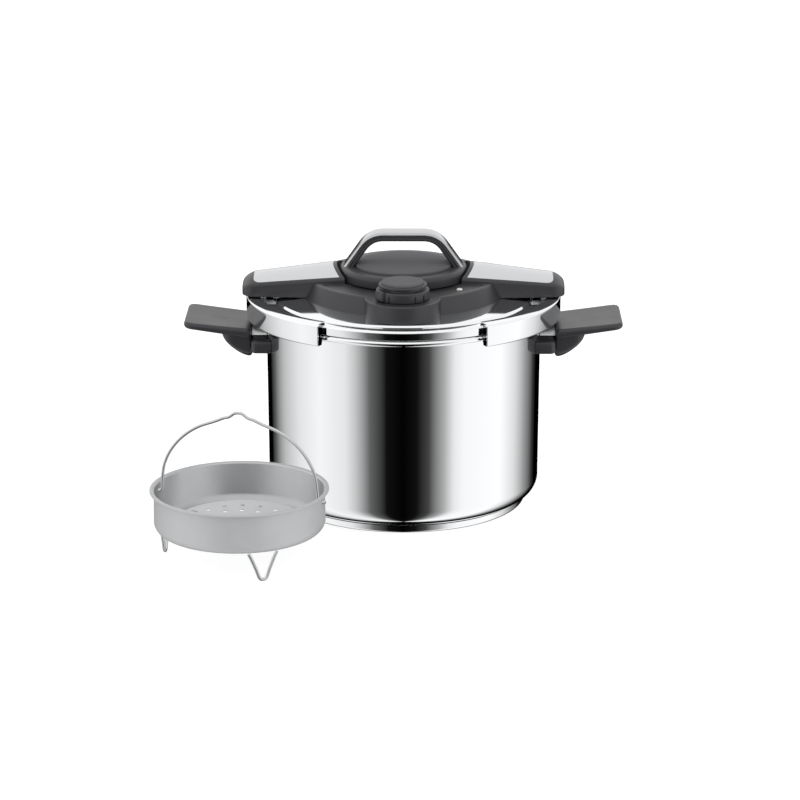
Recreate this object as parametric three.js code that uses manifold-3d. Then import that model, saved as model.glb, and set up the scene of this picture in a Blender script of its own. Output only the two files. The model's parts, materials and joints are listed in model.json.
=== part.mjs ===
// A stovetop pressure canner: a deep-drawn steel pot with two side grips, a clamp lid whose
// jaws are driven by a turning bow handle, and the wire-footed basket that goes with it.
// Millimetres, +Z up, +X to the right grip, -Y to the front, where the pressure selector is.
// The origin is the centre of the pot's underside. The lid is seated and its jaws stand open.
import * as THREE from "three";
import { mergeVertices } from "three/addons/utils/BufferGeometryUtils.js";
import Module from "manifold-3d";

const wasm = await Module();
wasm.setup();

// ---------- Driving sizes ----------

const GAP = 0.3; // between pieces that touch
const ROUND = 48; // sides of the large round pieces
const SMALL_ROUND = 16; // sides of the small ones

// Pot
const POT_R = 112.6; // inside radius at the rim
const POT_WALL = 1.2;
const POT_TAPER = 0.9; // how much narrower the pot is at its foot
const POT_CORNER = 15; // outside radius between wall and floor
const RIM_TOP = 166.3; // height of the rolled rim's top
const BEAD = 2.9; // radius of the rolled rim
const BASE_CORE = 5.2; // thickness of the aluminium layer in the base
const BASE_SKIN = 0.8; // thickness of the steel cap round it
const BASE_INSET = 12.3; // how far the base stops short of the pot's outside

// Side grips
const GRIP_REACH = 55; // length of a grip, outwards from its bracket
const GRIP_WIDTH = 68;
const GRIP_DROP = 14.3; // from the rim's top down to a grip's top at its bracket
const GRIP_RISE = 6.5; // how far a grip's outer end is above that
const GRIP_BELLY = 44; // width of the deep part under a grip's root
const GRIP_BELLY_DROP = 28; // and how far it reaches below the grip's top
const BRACKET_DEPTH = 11.5; // how far a bracket stands out from the wall
const BRACKET_WIDTH = 68;
const BRACKET_HEIGHT = 11;
const BRACKET_DROP = 9; // from a grip's top down to its bracket's
const SCREW_R = 2.5;

// Lid
const LID_SHEET = 1.2;
const LID_BAND = 7.5; // height of the lid's outer band
const LID_LEDGE = 10.6; // width of the flat ring inside the band
const LID_STEP = 1.6; // rise from the ring to the dome
const DOME_RISE = 4.3;
const GASKET_LIP = 4; // thickness of the sealing lip
const GASKET_DROP = 6; // how far the lip reaches below the rim's top

// Clamp mechanism
const JAW_SHEET = 1.8;
const JAW_GRIP = 3.3; // how far a closed jaw reaches under the rolled rim
const JAW_TOP_LIP = 9.8;
const JAW_HALF_ANGLE = THREE.MathUtils.degToRad(61);
const GEAR_MODULE = 0.8;
const GEAR_TEETH = 14;
const TURN = Math.PI / 2; // how far the hub turns from open to closed
const BAR_THICK = 2.4; // of the slide bars that carry the jaws
const BAR_WIDTH = 5.5;
const BAR_FOOT = 28; // width of a bar's outer end
const FOOT_THICK = 2.4; // of the part of a bar that lies on its jaw

// Lid cover
const COVER_WALL = 2.4;
const COVER_MARGIN = 10; // from the lobe's centre out to the foot of the round platform
const COVER_SLOPE = 7; // how far its top edge stands in from its foot
const COVER_RISE = 24.2; // of the platform's top above the rim
const ARM_OVERHANG = 14.1; // of an arm's end past the lid's edge
const ARM_RISE = 35.7; // of an arm's crown beside the hub, above the rim
const ARM_FALL = THREE.MathUtils.degToRad(7.3); // how steeply it falls from there
const ARM_CROWN_R = 52; // radius of its rounded top, across the arm
const ARM_FLOOR_RISE = 11.2; // of its lower edge above the rim
const ARM_HUB_WIDTH = 55;
const ARM_END_WIDTH = 42;
const TRIM_SHEET = 1.2;
const TRIM_MARGIN = 3; // from the hub's round space out to a trim
const TRIM_SHORT = 9.5; // from a trim's outer end to the arm's
const LOBE_MARGIN = 9.5; // of the round lobe under the selector, past its knob

// Hub, bow and selector
const HUB_R = 53;
const WELL_MARGIN = 2.2; // room round the hub for the bow's feet to turn in
const HUB_RISE = 9.2;
const CAP_MARGIN = 12; // from the cap's edge to the hub's
const CAP_RISE = 2;
const BOW_RISE = 62.2; // of its top above the rim
const BOW_TOP_HALF = 29; // half the width across its upper corners
const BOW_FOOT_IN = 0.2; // how far its feet stand in from the hub's edge
const BOW_FOOT_RISE = 4.2; // height of its feet above the hub's floor
const BOW_DEPTH = 20;
const BOW_STRAP = 4.2; // the polished outer strap
const BOW_LINING = 3.2; // the dark lining inside it
const KNOB_R = 21.5;
const KNOB_SPACE = 0.8; // between the knob and the hub
const KNOB_RING = 8; // height of the selector's ring
const KNOB_TOP_R = 19.5;
const KNOB_HEIGHT = 13.5;

// Basket
const BASKET_SPACE = 20.4; // between the basket's rim and the pot's wall
const BASKET_TURN = THREE.MathUtils.degToRad(231.23); // where it stands, round the pot
const BASKET_R = 68; // outside radius of its wall
const BASKET_DEPTH = 34;
const BASKET_SHEET = 0.8;
const BASKET_CORNER = 8;
const BASKET_LIP = 3; // width of the turned-out rim
const BASKET_STEP = 6; // how far its floor is pressed up
const LEG_HEIGHT = 23.5;
const LEG_WIRE_R = 1.3;
const BAIL_WIRE_R = 1.25;
const BAIL_HEIGHT = 63;
const BAIL_AZIMUTH = THREE.MathUtils.degToRad(-13);

// ---------- Sizes that follow from them ----------

const potOuterR = POT_R + POT_WALL;
const baseTop = BASE_SKIN + BASE_CORE;
const baseR = potOuterR - BASE_INSET;
const beadX = POT_R + BEAD; // middle of the rolled rim
const beadR = beadX + BEAD; // and its outside
const beadZ = RIM_TOP - BEAD;
const lidFloor = RIM_TOP + GAP;
const gripRootZ = RIM_TOP - GRIP_DROP;
const lidR = beadR + 0.5;
const ledgeZ = lidFloor + LID_BAND;
const domeR = lidR - LID_LEDGE - LID_STEP;
const domeEdgeZ = ledgeZ + LID_STEP;
const domeZ = (r) => domeEdgeZ + DOME_RISE * (1 - (r / domeR) ** 2);
const pitchR = (GEAR_MODULE * GEAR_TEETH) / 2;
const stroke = pitchR * TURN; // travel of each jaw
const jawR = lidR + 0.6; // inside of a closed jaw
const jawTop = ledgeZ + 0.7 + JAW_SHEET;
const jawFloor = beadZ - BEAD - 0.7 - JAW_SHEET;
const bridgeZ = domeZ(0) + GAP;
const barZ = bridgeZ + JAW_SHEET + GAP;
const coverTop = RIM_TOP + COVER_RISE;
const lobeY = -(HUB_R + KNOB_SPACE + KNOB_R);
const lobeR = KNOB_R + LOBE_MARGIN;
const coverR = COVER_MARGIN - lobeY;
const coverTopR = coverR - COVER_SLOPE;
const armEndX = lidR + ARM_OVERHANG;
const armTopZ = RIM_TOP + ARM_RISE;
const armFloorZ = RIM_TOP + ARM_FLOOR_RISE;
const trimEndX = armEndX - TRIM_SHORT;
const wellR = HUB_R + WELL_MARGIN;
const capR = HUB_R - CAP_MARGIN;
const hubFloor = coverTop + GAP;
const hubTop = hubFloor + HUB_RISE;
const bowTopZ = RIM_TOP + BOW_RISE;
const bowFootHalf = HUB_R - BOW_FOOT_IN;
const basketDistance = potOuterR + BASKET_SPACE + BASKET_LIP + BASKET_R;
const basketX = basketDistance * Math.cos(BASKET_TURN);
const basketY = basketDistance * Math.sin(BASKET_TURN);

// ---------- Tools ----------

/** A closed surface as a solid that can be joined and cut. */
function solid(geometry) {
  const loose = geometry.index ? geometry.toNonIndexed() : geometry;
  const bare = new THREE.BufferGeometry();
  bare.setAttribute("position", loose.getAttribute("position"));
  const merged = mergeVertices(bare, 1e-3);
  return new wasm.Manifold(
    new wasm.Mesh({
      numProp: 3,
      vertProperties: merged.attributes.position.array,
      triVerts: new Uint32Array(merged.index.array),
    }),
  );
}

/** A solid's surface as a geometry again. */
function surface(made) {
  const mesh = made.getMesh();
  const geometry = new THREE.BufferGeometry();
  geometry.setAttribute("position", new THREE.BufferAttribute(mesh.vertProperties, 3));
  geometry.setIndex(new THREE.BufferAttribute(mesh.triVerts, 1));
  return geometry;
}

const join = (...parts) => surface(parts.map(solid).reduce((a, b) => a.add(b)));
const cut = (base, ...tools) => surface(tools.map(solid).reduce((a, b) => a.subtract(b), solid(base)));
const common = (a, b) => surface(solid(a).intersect(solid(b)));

/** Points on an arc in a profile, from one angle to another in degrees. */
function arc(x, y, r, from, to, steps = 6) {
  return Array.from({ length: steps + 1 }, (_, i) => {
    const a = THREE.MathUtils.degToRad(from + ((to - from) * i) / steps);
    return [x + r * Math.cos(a), y + r * Math.sin(a)];
  });
}

/** Turns a profile of [radius, height] points about the vertical axis. */
function turned(profile, segments = ROUND) {
  const doubleArea = profile.reduce((sum, [r, z], i) => {
    const [nextR, nextZ] = profile[(i + 1) % profile.length];
    return sum + r * nextZ - nextR * z;
  }, 0);
  const points = profile.map(([r, z]) => new THREE.Vector2(r, z));
  if (doubleArea < 0) points.reverse();
  if (points[0].x > 0) points.push(points[0].clone());
  return new THREE.LatheGeometry(points, segments).rotateX(Math.PI / 2);
}

const cylinder = (r, from, to, segments = SMALL_ROUND) =>
  turned([[0, from], [r, from], [r, to], [0, to]], segments);

const tubeRing = (inner, outer, from, to, segments = ROUND) =>
  turned([[inner, from], [outer, from], [outer, to], [inner, to]], segments);

const outline = (points) => new THREE.Shape(points.map(([x, y]) => new THREE.Vector2(x, y)));

/** Raises a plan outline from one height to another. */
function prism(shape, from, to, curveSegments = 12) {
  const options = { depth: to - from, bevelEnabled: false, curveSegments };
  return new THREE.ExtrudeGeometry(shape, options).translate(0, 0, from);
}

/** Carries a side outline, drawn in X and Z, across the width in Y. */
function slab(shape, width, curveSegments = 12) {
  const options = { depth: width, bevelEnabled: false, curveSegments };
  return new THREE.ExtrudeGeometry(shape, options).rotateX(Math.PI / 2).translate(0, width / 2, 0);
}

/** Carries an outline drawn in Y and Z along X. */
function beam(shape, from, to) {
  const options = { depth: to - from, bevelEnabled: false };
  return new THREE.ExtrudeGeometry(shape, options)
    .applyMatrix4(new THREE.Matrix4().set(0, 0, 1, from, 1, 0, 0, 0, 0, 1, 0, 0, 0, 0, 0, 1));
}

const box = (x0, x1, y0, y1, z0, z1) =>
  new THREE.BoxGeometry(x1 - x0, y1 - y0, z1 - z0).translate((x0 + x1) / 2, (y0 + y1) / 2, (z0 + z1) / 2);

/** A plan outline with its corners rounded. */
function roundedOutline(points, radius) {
  const shape = new THREE.Shape();
  const corners = points.map(([x, y]) => new THREE.Vector2(x, y));
  corners.forEach((corner, i) => {
    const before = corners[(i + corners.length - 1) % corners.length];
    const after = corners[(i + 1) % corners.length];
    const into = before.clone().sub(corner).setLength(radius).add(corner);
    const out = after.clone().sub(corner).setLength(radius).add(corner);
    if (i === 0) shape.moveTo(into.x, into.y);
    else shape.lineTo(into.x, into.y);
    shape.quadraticCurveTo(corner.x, corner.y, out.x, out.y);
  });
  shape.closePath();
  return shape;
}

/** A round wire bent along a curve. */
function wire(curve, radius, steps, sides = 8) {
  const section = new THREE.Shape().absarc(0, 0, radius, 0, 2 * Math.PI);
  return new THREE.ExtrudeGeometry(section, { steps, extrudePath: curve, curveSegments: sides / 2 });
}

const finishes = {
  polishedSteel: { color: 0xd9dadb, roughness: 0.08, metalness: 1 },
  satinSteel: { color: 0xb9babc, roughness: 0.35, metalness: 1 },
  springSteel: { color: 0x9a9b9d, roughness: 0.3, metalness: 1 },
  aluminium: { color: 0xc4c6c8, roughness: 0.4, metalness: 1 },
  silverTrim: { color: 0xcfd0d2, roughness: 0.28, metalness: 0.9 },
  blackPlastic: { color: 0x2d2d30, roughness: 0.45, metalness: 0 },
  greyPlastic: { color: 0x56575a, roughness: 0.4, metalness: 0 },
  silicone: { color: 0x8d8f91, roughness: 0.7, metalness: 0 },
  indicatorWhite: { color: 0xdededc, roughness: 0.4, metalness: 0 },
};
const materials = Object.fromEntries(
  Object.entries(finishes).map(([name, look]) => [name, new THREE.MeshStandardMaterial({ name, ...look })]),
);

function piece(name, geometry, finish) {
  const mesh = new THREE.Mesh(geometry, materials[finish]);
  mesh.name = name;
  return mesh;
}

function group(...children) {
  return new THREE.Group().add(...children);
}

/** Two copies of one side's pieces, the left one turned half round. */
function bothSides(makeSide) {
  const right = makeSide("right");
  const left = makeSide("left");
  left.rotation.z = Math.PI;
  return group(right, left);
}

// ---------- Pot ----------

function potBody() {
  const floor = baseTop + GAP;
  const inner = POT_CORNER - POT_WALL;
  const cornerX = potOuterR - POT_TAPER - POT_CORNER;
  return turned([
    [0, floor],
    ...arc(cornerX, floor + POT_CORNER, POT_CORNER, -90, 0, 4),
    ...arc(beadX, beadZ, BEAD, -122, 170, 6),
    [POT_R, beadZ - 1],
    ...arc(cornerX, floor + POT_CORNER, inner, 0, -90, 4),
    [0, floor + POT_WALL],
  ]);
}

function baseCap() {
  return turned([
    [0, 0],
    [baseR - 1.5, 0],
    [baseR, 1.5],
    [baseR, baseTop],
    [baseR - BASE_SKIN, baseTop],
    [baseR - BASE_SKIN, BASE_SKIN],
    [0, BASE_SKIN],
  ]);
}

/** The moulded block that stands the grip off the hot wall. */
function gripBracket() {
  const far = potOuterR + BRACKET_DEPTH;
  const half = BRACKET_WIDTH / 2;
  const plan = roundedOutline([[potOuterR - 30, -half], [far, -half], [far, half], [potOuterR - 30, half]], 3);
  const block = prism(plan, bracketTop - BRACKET_HEIGHT, bracketTop, 3);
  const wall = cylinder(potOuterR + GAP, 0, RIM_TOP, ROUND);
  return cut(block, wall, gripScrewHole(SCREW_R + GAP, potOuterR - 10, far + 10));
}

/** The welded steel lug that stands up between wall and grip. */
function gripLug() {
  const shape = new THREE.Shape()
    .moveTo(-15, bracketTop + GAP)
    .lineTo(15, bracketTop + GAP)
    .quadraticCurveTo(13, gripRootZ, 6, gripRootZ)
    .lineTo(-6, gripRootZ)
    .quadraticCurveTo(-13, gripRootZ, -15, bracketTop + GAP)
    .closePath();
  const wall = cylinder(potOuterR + GAP, 0, RIM_TOP, ROUND);
  return cut(beam(shape, potOuterR - 5, potOuterR + BRACKET_DEPTH), wall);
}

const bracketTop = gripRootZ - BRACKET_DROP;
const screwZ = bracketTop - BRACKET_HEIGHT / 2;

function gripScrewHole(radius, from, to) {
  return cylinder(radius, 0, to - from, 16).rotateY(Math.PI / 2).translate(from, 0, screwZ);
}

/** A flat tapering blade with a rounded belly below its root. */
function grip() {
  const root = potOuterR + BRACKET_DEPTH + GAP;
  const end = root + GRIP_REACH;
  const endZ = gripRootZ + GRIP_RISE;
  const belly = gripRootZ - GRIP_BELLY_DROP;
  const blade = outline([[root, gripRootZ - 8], [end - 2.5, endZ - 6], [end, endZ - 4.5],
    [end - 1, endZ], [root, gripRootZ]]);
  const half = GRIP_WIDTH / 2;
  const plan = roundedOutline([[root, -half + 3], [end, -half], [end, half], [root, half - 3]], 6);
  const lobe = new THREE.Shape()
    .moveTo(root, gripRootZ - 4)
    .lineTo(root, belly)
    .lineTo(root + 4, belly - 1.5)
    .quadraticCurveTo(root + 16, belly + 3, root + 25, gripRootZ - 4)
    .closePath();
  const whole = join(
    common(slab(blade, GRIP_WIDTH), prism(plan, 0, RIM_TOP + 20, 3)),
    slab(lobe, GRIP_BELLY, 5),
  );
  return cut(
    whole,
    gripScrewHole(SCREW_R + GAP, root - 5, root + 12),
    gripScrewHole(SCREW_R + 2.6, root + 6, root + 30),
  );
}

function gripScrew() {
  const root = potOuterR + BRACKET_DEPTH + GAP;
  return join(
    gripScrewHole(SCREW_R, potOuterR + 1, root + 7),
    gripScrewHole(SCREW_R + 2, root + 6 + GAP, root + 9),
  );
}

function pot() {
  return group(
    piece("pot_body", potBody(), "polishedSteel"),
    piece("base_cap", baseCap(), "polishedSteel"),
    piece("base_core", cylinder(baseR - BASE_SKIN - GAP, BASE_SKIN + 0.1, baseTop, ROUND), "aluminium"),
    bothSides((side) => group(
      piece(`grip_bracket_${side}`, gripBracket(), "blackPlastic"),
      piece(`grip_lug_${side}`, gripLug(), "satinSteel"),
      piece(`grip_${side}`, grip(), "blackPlastic"),
      piece(`grip_screw_${side}`, gripScrew(), "springSteel"),
    )),
  );
}

// ---------- Lid ----------

const valve = { x: 0, y: lobeY };
const sideValve = (wellR + 8.4) * Math.SQRT1_2; // in X and in Y, from the centre
const indicator = { x: sideValve + 1, y: 1 - sideValve };
const relief = { x: -indicator.x, y: -indicator.y };
const fittingR = 5.5; // the lid's hole for each valve is this and a gap

const at = (place, geometry) => geometry.translate(place.x, place.y, 0);

function domeProfile(offset, steps = 4) {
  return Array.from({ length: steps + 1 }, (_, i) => {
    const r = domeR * (1 - i / steps);
    return [r, domeZ(r) + offset];
  });
}

function lidShell() {
  const shell = turned([
    [lidR - LID_SHEET, lidFloor],
    [lidR, lidFloor],
    [lidR, ledgeZ - 1.2],
    [lidR - 1.2, ledgeZ],
    [lidR - LID_LEDGE, ledgeZ],
    ...domeProfile(0),
    ...domeProfile(-LID_SHEET).reverse(),
    [lidR - LID_LEDGE - 1, ledgeZ - LID_SHEET],
    [lidR - LID_SHEET, ledgeZ - LID_SHEET],
  ]);
  const holes = [valve, indicator, relief].map((place) =>
    at(place, cylinder(fittingR + GAP, ledgeZ - 10, ledgeZ + 20)));
  return cut(shell, ...holes);
}

function gasketChannel() {
  const r = POT_R - GASKET_LIP - 1 - GAP;
  return tubeRing(r - LID_SHEET, r, RIM_TOP - GASKET_DROP, ledgeZ - LID_SHEET - GAP);
}

function gasket() {
  const inner = POT_R - GASKET_LIP - 1;
  const top = ledgeZ - LID_SHEET - GAP;
  return turned([
    [inner, RIM_TOP - GASKET_DROP],
    [POT_R - 1.2, RIM_TOP - GASKET_DROP + 0.6],
    [POT_R - 1, RIM_TOP + GAP],
    [lidR - LID_SHEET - 1, RIM_TOP + GAP + 0.4],
    [lidR - LID_SHEET - 1, top],
    [inner, top],
  ]);
}

// ---------- Clamp mechanism ----------

const RIVET_R = 1.6;
const jawRivetX = jawR - 4.6;
const jawRivetY = [-9, 9];

/** A jaw in its closed place on the right: a C-section that holds lid and rolled rim together. */
function jaw() {
  const section = turned([
    [beadR - JAW_GRIP, jawFloor],
    [jawR + JAW_SHEET, jawFloor],
    [jawR + JAW_SHEET, jawTop - 1],
    [jawR + JAW_SHEET - 1, jawTop],
    [jawR - JAW_TOP_LIP, jawTop],
    [jawR - JAW_TOP_LIP, jawTop - JAW_SHEET],
    [jawR, jawTop - JAW_SHEET],
    [jawR, jawFloor + JAW_SHEET],
    [beadR - JAW_GRIP, jawFloor + JAW_SHEET],
  ]);
  const far = 3 * jawR;
  const reach = [far * Math.cos(JAW_HALF_ANGLE), far * Math.sin(JAW_HALF_ANGLE)];
  const sector = outline([[0, 0], [reach[0], -reach[1]], [far, -reach[1]], [far, reach[1]], reach]);
  const rivetHoles = jawRivetY.map((y) =>
    cylinder(RIVET_R + GAP, jawTop - 10, jawTop + 10, 12).translate(jawRivetX, y, 0));
  return cut(common(section, prism(sector, jawFloor - 5, jawTop + 5)), ...rivetHoles);
}

/** One side's teeth along a rack, [x, y] points with the teeth towards +Y. */
function rackTeeth(firstSpace, count, pitchY) {
  const pitch = Math.PI * GEAR_MODULE;
  const tip = 0.5;
  const root = 0.8;
  const slope = Math.tan(THREE.MathUtils.degToRad(20));
  const halfSpace = pitch / 4 + 0.1;
  const points = [];
  for (let i = 0; i < count; i++) {
    const x = firstSpace + i * pitch;
    points.push(
      [x - halfSpace - tip * slope, pitchY + tip],
      [x - halfSpace + root * slope, pitchY - root],
      [x + halfSpace - root * slope, pitchY - root],
      [x + halfSpace + tip * slope, pitchY + tip],
    );
  }
  return points;
}

/** A slide bar in its closed place: a rack beside the hub, a wide foot riveted to the jaw. */
function slideBar() {
  const pitch = Math.PI * GEAR_MODULE;
  const spaces = Math.ceil(stroke / pitch) + 4;
  const first = -stroke - 2 * pitch;
  const back = -pitchR - 1 - BAR_WIDTH;
  const drop = jawR - JAW_TOP_LIP - 4;
  const rack = outline([
    [first - pitch, back],
    [drop, back],
    [drop, -pitchR + 0.5],
    ...rackTeeth(first, spaces, -pitchR).reverse(),
    [first - pitch, -pitchR + 0.5],
  ]);
  const half = BAR_FOOT / 2;
  const foot = jawTop + GAP;
  const bar = join(
    prism(rack, barZ, barZ + BAR_THICK),
    box(drop - 8, drop + 5, -half, half, barZ, barZ + BAR_THICK),
    box(drop, drop + 5, -half, half, foot, barZ + BAR_THICK),
    box(drop, jawR - 1.2, -half, half, foot, foot + FOOT_THICK),
  );
  return cut(bar, ...jawRivetY.map((y) =>
    cylinder(RIVET_R + GAP, foot - 5, foot + FOOT_THICK + 0.5, 12).translate(jawRivetX, y, 0)));
}

function jawRivet(y) {
  const head = jawTop + GAP + FOOT_THICK + GAP;
  return turned([[0, jawTop - JAW_SHEET + 0.1], [RIVET_R, jawTop - JAW_SHEET + 0.1], [RIVET_R, head],
    [3, head], [2.4, head + 0.9], [0, head + 1.1]], 12).translate(jawRivetX, y, 0);
}

/** An involute spur gear's outline, one tooth pointing to -Y. */
function gearOutline() {
  const baseR = pitchR * Math.cos(THREE.MathUtils.degToRad(20));
  const tipR = pitchR + 0.55;
  const rootR = pitchR - 0.75;
  const involute = (r) => {
    const t = Math.sqrt(Math.max(0, (r / baseR) ** 2 - 1));
    return t - Math.atan(t);
  };
  const halfTooth = Math.PI / 2 / GEAR_TEETH - 0.1 / pitchR + involute(pitchR);
  const radii = [0, 0.35, 0.7, 1].map((share) => baseR + (tipR - baseR) * share);
  const points = [];
  for (let i = 0; i < GEAR_TEETH; i++) {
    const middle = -Math.PI / 2 + (2 * Math.PI * i) / GEAR_TEETH;
    const flank = radii.map((r) => [r, halfTooth - involute(r)]);
    const all = [[rootR, halfTooth], ...flank];
    all.forEach(([r, a]) => points.push([r * Math.cos(middle - a), r * Math.sin(middle - a)]));
    all.reverse().forEach(([r, a]) => points.push([r * Math.cos(middle + a), r * Math.sin(middle + a)]));
  }
  return outline(points);
}

const studR = 2.5;
const sleeveR = 3.9;
const hubWeb = hubTop - 4.6; // top of the hub's web, below the cap

function pinion() {
  const body = join(
    prism(gearOutline(), barZ, barZ + BAR_THICK),
    cylinder(sleeveR, barZ + BAR_THICK - 0.5, hubWeb),
  );
  return cut(body, cylinder(studR + GAP, barZ - 5, hubTop + 5));
}

function hubStud() {
  return turned([[0, domeZ(0) + 0.1], [studR, domeZ(0) + 0.1], [studR, hubTop - 0.8], [0, hubTop - 0.8]], SMALL_ROUND);
}

/** The steel channel, fixed on the dome, that the slide bars run in. */
function slideBridge() {
  const half = pitchR + 1 + BAR_WIDTH + GAP;
  const channel = outline([
    [-half - 1.5, bridgeZ],
    [half + 1.5, bridgeZ],
    [half + 1.5, barZ + BAR_THICK],
    [half, barZ + BAR_THICK],
    [half, bridgeZ + JAW_SHEET],
    [-half, bridgeZ + JAW_SHEET],
    [-half, barZ + BAR_THICK],
    [-half - 1.5, barZ + BAR_THICK],
  ]);
  const reach = domeR * 0.65;
  const feet = [-1, 1].map((side) =>
    box(side * reach - 4, side * reach + 4, -half, half, domeZ(reach - 4) + GAP, bridgeZ + 0.5));
  return cut(join(beam(channel, -reach - 4, reach + 4), ...feet), cylinder(studR + GAP, 0, coverTop));
}

/** One side's jaw and bar, carried out to where they stand open. */
function clampSide(side) {
  const made = group(
    piece(`jaw_${side}`, jaw(), "polishedSteel"),
    piece(`slide_bar_${side}`, slideBar(), "satinSteel"),
    ...jawRivetY.map((y, i) => piece(`jaw_rivet_${side}_${i + 1}`, jawRivet(y), "satinSteel")),
  );
  made.position.x = stroke;
  return group(made);
}

// ---------- Lid cover ----------

/** Everything under an arm's rounded, falling top. */
function underCrown(drop) {
  return cylinder(ARM_CROWN_R - drop, -80, 130, 90)
    .rotateY(Math.PI / 2)
    .rotateY(ARM_FALL)
    .translate(HUB_R, 0, armTopZ - ARM_CROWN_R);
}

/** An arm's plan, and the side view of its rounded end. */
function armPlan(inset) {
  const hub = ARM_HUB_WIDTH / 2 - inset;
  const end = ARM_END_WIDTH / 2 - inset;
  const far = armEndX - inset;
  return roundedOutline([[-5, -hub], [HUB_R, -hub], [far, -end], [far, end], [HUB_R, hub], [-5, hub]], 7);
}

function armSide(inset, floor) {
  const far = armEndX - inset;
  return new THREE.Shape()
    .moveTo(-10, floor)
    .lineTo(far - 3, floor)
    .quadraticCurveTo(far, floor, far, floor + 3.5)
    .quadraticCurveTo(far - 1, floor + 8, far - 10, floor + 14)
    .lineTo(far - 10, 240)
    .lineTo(-10, 240)
    .closePath();
}

function arm(drop, inset, floor = armFloorZ) {
  const block = common(slab(armSide(inset, floor), 2 * ARM_HUB_WIDTH, 4), prism(armPlan(inset), 150, 240, 3));
  return common(block, underCrown(drop));
}

const bothArms = (make) => [make(), make().rotateZ(Math.PI)];

function lidCover() {
  const trimRoom = TRIM_SHEET + GAP;
  const foot = domeEdgeZ - 2;
  const platform = (inset) => turned([[0, foot - inset / 4], [coverR - inset, foot - inset / 4],
    [coverR - inset, armFloorZ], [coverTopR - inset, coverTop - inset], [0, coverTop - inset]]);
  const lobe = (inset) => at(valve, cylinder(lobeR - inset, foot - inset / 4, coverTop - inset, 40));
  const armEnd = () => common(arm(0, 0), box(trimEndX + GAP, armEndX + 10, -40, 40, 100, 240));
  const armRoot = () => common(arm(0, 0), cylinder(wellR + TRIM_MARGIN - GAP, 150, 240, ROUND));
  const hollowArm = () => cut(arm(trimRoom + COVER_WALL, COVER_WALL, armFloorZ - 1),
    box(-20, wellR + COVER_WALL, -40, 40, coverTop - COVER_WALL, 240));
  const dome = turned([[0, 100], [domeR + 10, 100], [domeR + 10, domeEdgeZ + GAP], ...domeProfile(GAP)]);
  return cut(
    join(platform(0), lobe(0), ...bothArms(() => arm(trimRoom, 0)), ...bothArms(armEnd),
      ...bothArms(armRoot)),
    platform(COVER_WALL),
    lobe(COVER_WALL),
    ...bothArms(hollowArm),
    dome,
    ...bothArms(barRoom),
    cylinder(wellR, coverTop - 0.5, 240, ROUND),
    cylinder(HUB_R - 14, 150, 240, ROUND),
    at(valve, cylinder(13, 150, 240)),
    at(indicator, cylinder(3.2, 150, 240)),
  );
}

/** The room a slide bar's outer end needs on its way from closed to open. */
function barRoom() {
  const half = BAR_FOOT / 2 + GAP;
  return box(jawR - JAW_TOP_LIP - 13, jawR + stroke, -half, half, ledgeZ, barZ + BAR_THICK + GAP);
}

/** The satin plate let into an arm's top, its inner end curved round the hub. */
function armTrim() {
  return cut(
    arm(0, 1.2),
    underCrown(TRIM_SHEET),
    box(trimEndX, armEndX + 10, -80, 80, 100, 240),
    cylinder(wellR + TRIM_MARGIN, 150, 240, ROUND),
    box(-80, 0, -80, 80, 150, 240),
  );
}

// ---------- Hub and bow ----------

/** The turning collar: a dished ring with a web that is keyed to the pinion's sleeve. */
function hubCollar() {
  const ledge = capR - 6;
  const under = hubWeb - 2.4;
  const skirt = HUB_R - 15;
  const collar = turned([
    [sleeveR + GAP, coverTop - 1],
    [sleeveR + 3, coverTop - 1],
    [sleeveR + 3, under],
    [skirt - 2, under],
    [skirt - 2, coverTop - 3],
    [skirt, coverTop - 3],
    [skirt, hubFloor],
    [HUB_R, hubFloor],
    [HUB_R, hubTop - 2.2],
    [HUB_R - 1.8, hubTop],
    [capR + GAP, hubTop],
    [capR + GAP, hubTop - 0.6],
    [ledge, hubTop - 0.6],
    [ledge, hubWeb],
    [sleeveR + GAP, hubWeb],
  ]);
  return cut(collar, bowPocket());
}

function hubCap() {
  const floor = hubTop - 0.6 + GAP;
  const edge = hubTop + CAP_RISE;
  const disc = turned([[0, floor], [capR, floor], [capR, edge - 1], [capR - 1, edge - 0.2],
    [capR - 2, edge], [0, edge + 0.3]]);
  return cut(disc, bowPocket());
}

const bowFoot = hubFloor + BOW_FOOT_RISE;

/** A bow's outline drawn in by an inset: the corner, and how far each leg runs out below it. */
function bowOutline(inset, foot) {
  const slope = (bowFootHalf - BOW_TOP_HALF) / (bowTopZ - bowFoot);
  const top = bowTopZ - inset;
  const cornerX = BOW_TOP_HALF + inset * slope - inset * Math.hypot(1, slope);
  return { foot, top, cornerX, footX: cornerX + (top - foot) * slope, slope };
}

function bowLayer(from, to, foot) {
  const round = 7;
  const shape = new THREE.Shape();
  const trace = (o, s) => {
    const drop = round / Math.hypot(1, o.slope);
    shape.lineTo(s * o.footX, o.foot);
    shape.lineTo(s * (o.cornerX + drop * o.slope), o.top - drop);
    shape.quadraticCurveTo(s * o.cornerX, o.top, s * (o.cornerX - round), o.top);
    shape.lineTo(-s * (o.cornerX - round), o.top);
    shape.quadraticCurveTo(-s * o.cornerX, o.top, -s * (o.cornerX + drop * o.slope), o.top - drop);
    shape.lineTo(-s * o.footX, o.foot);
  };
  const outer = bowOutline(from, foot);
  shape.moveTo(outer.footX, outer.foot);
  trace(outer, 1);
  trace(bowOutline(to, foot), -1);
  shape.closePath();
  return shape;
}

const bowPart = (from, to, depth) => slab(bowLayer(from, to, bowFoot), depth, 5);

/** The room the bow's legs need in the collar and the cap, open to the outside. */
const bowPocket = () =>
  slab(bowLayer(-8, BOW_STRAP + BOW_LINING + GAP, bowFoot - GAP), BOW_DEPTH + 2 * GAP, 5);

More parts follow.
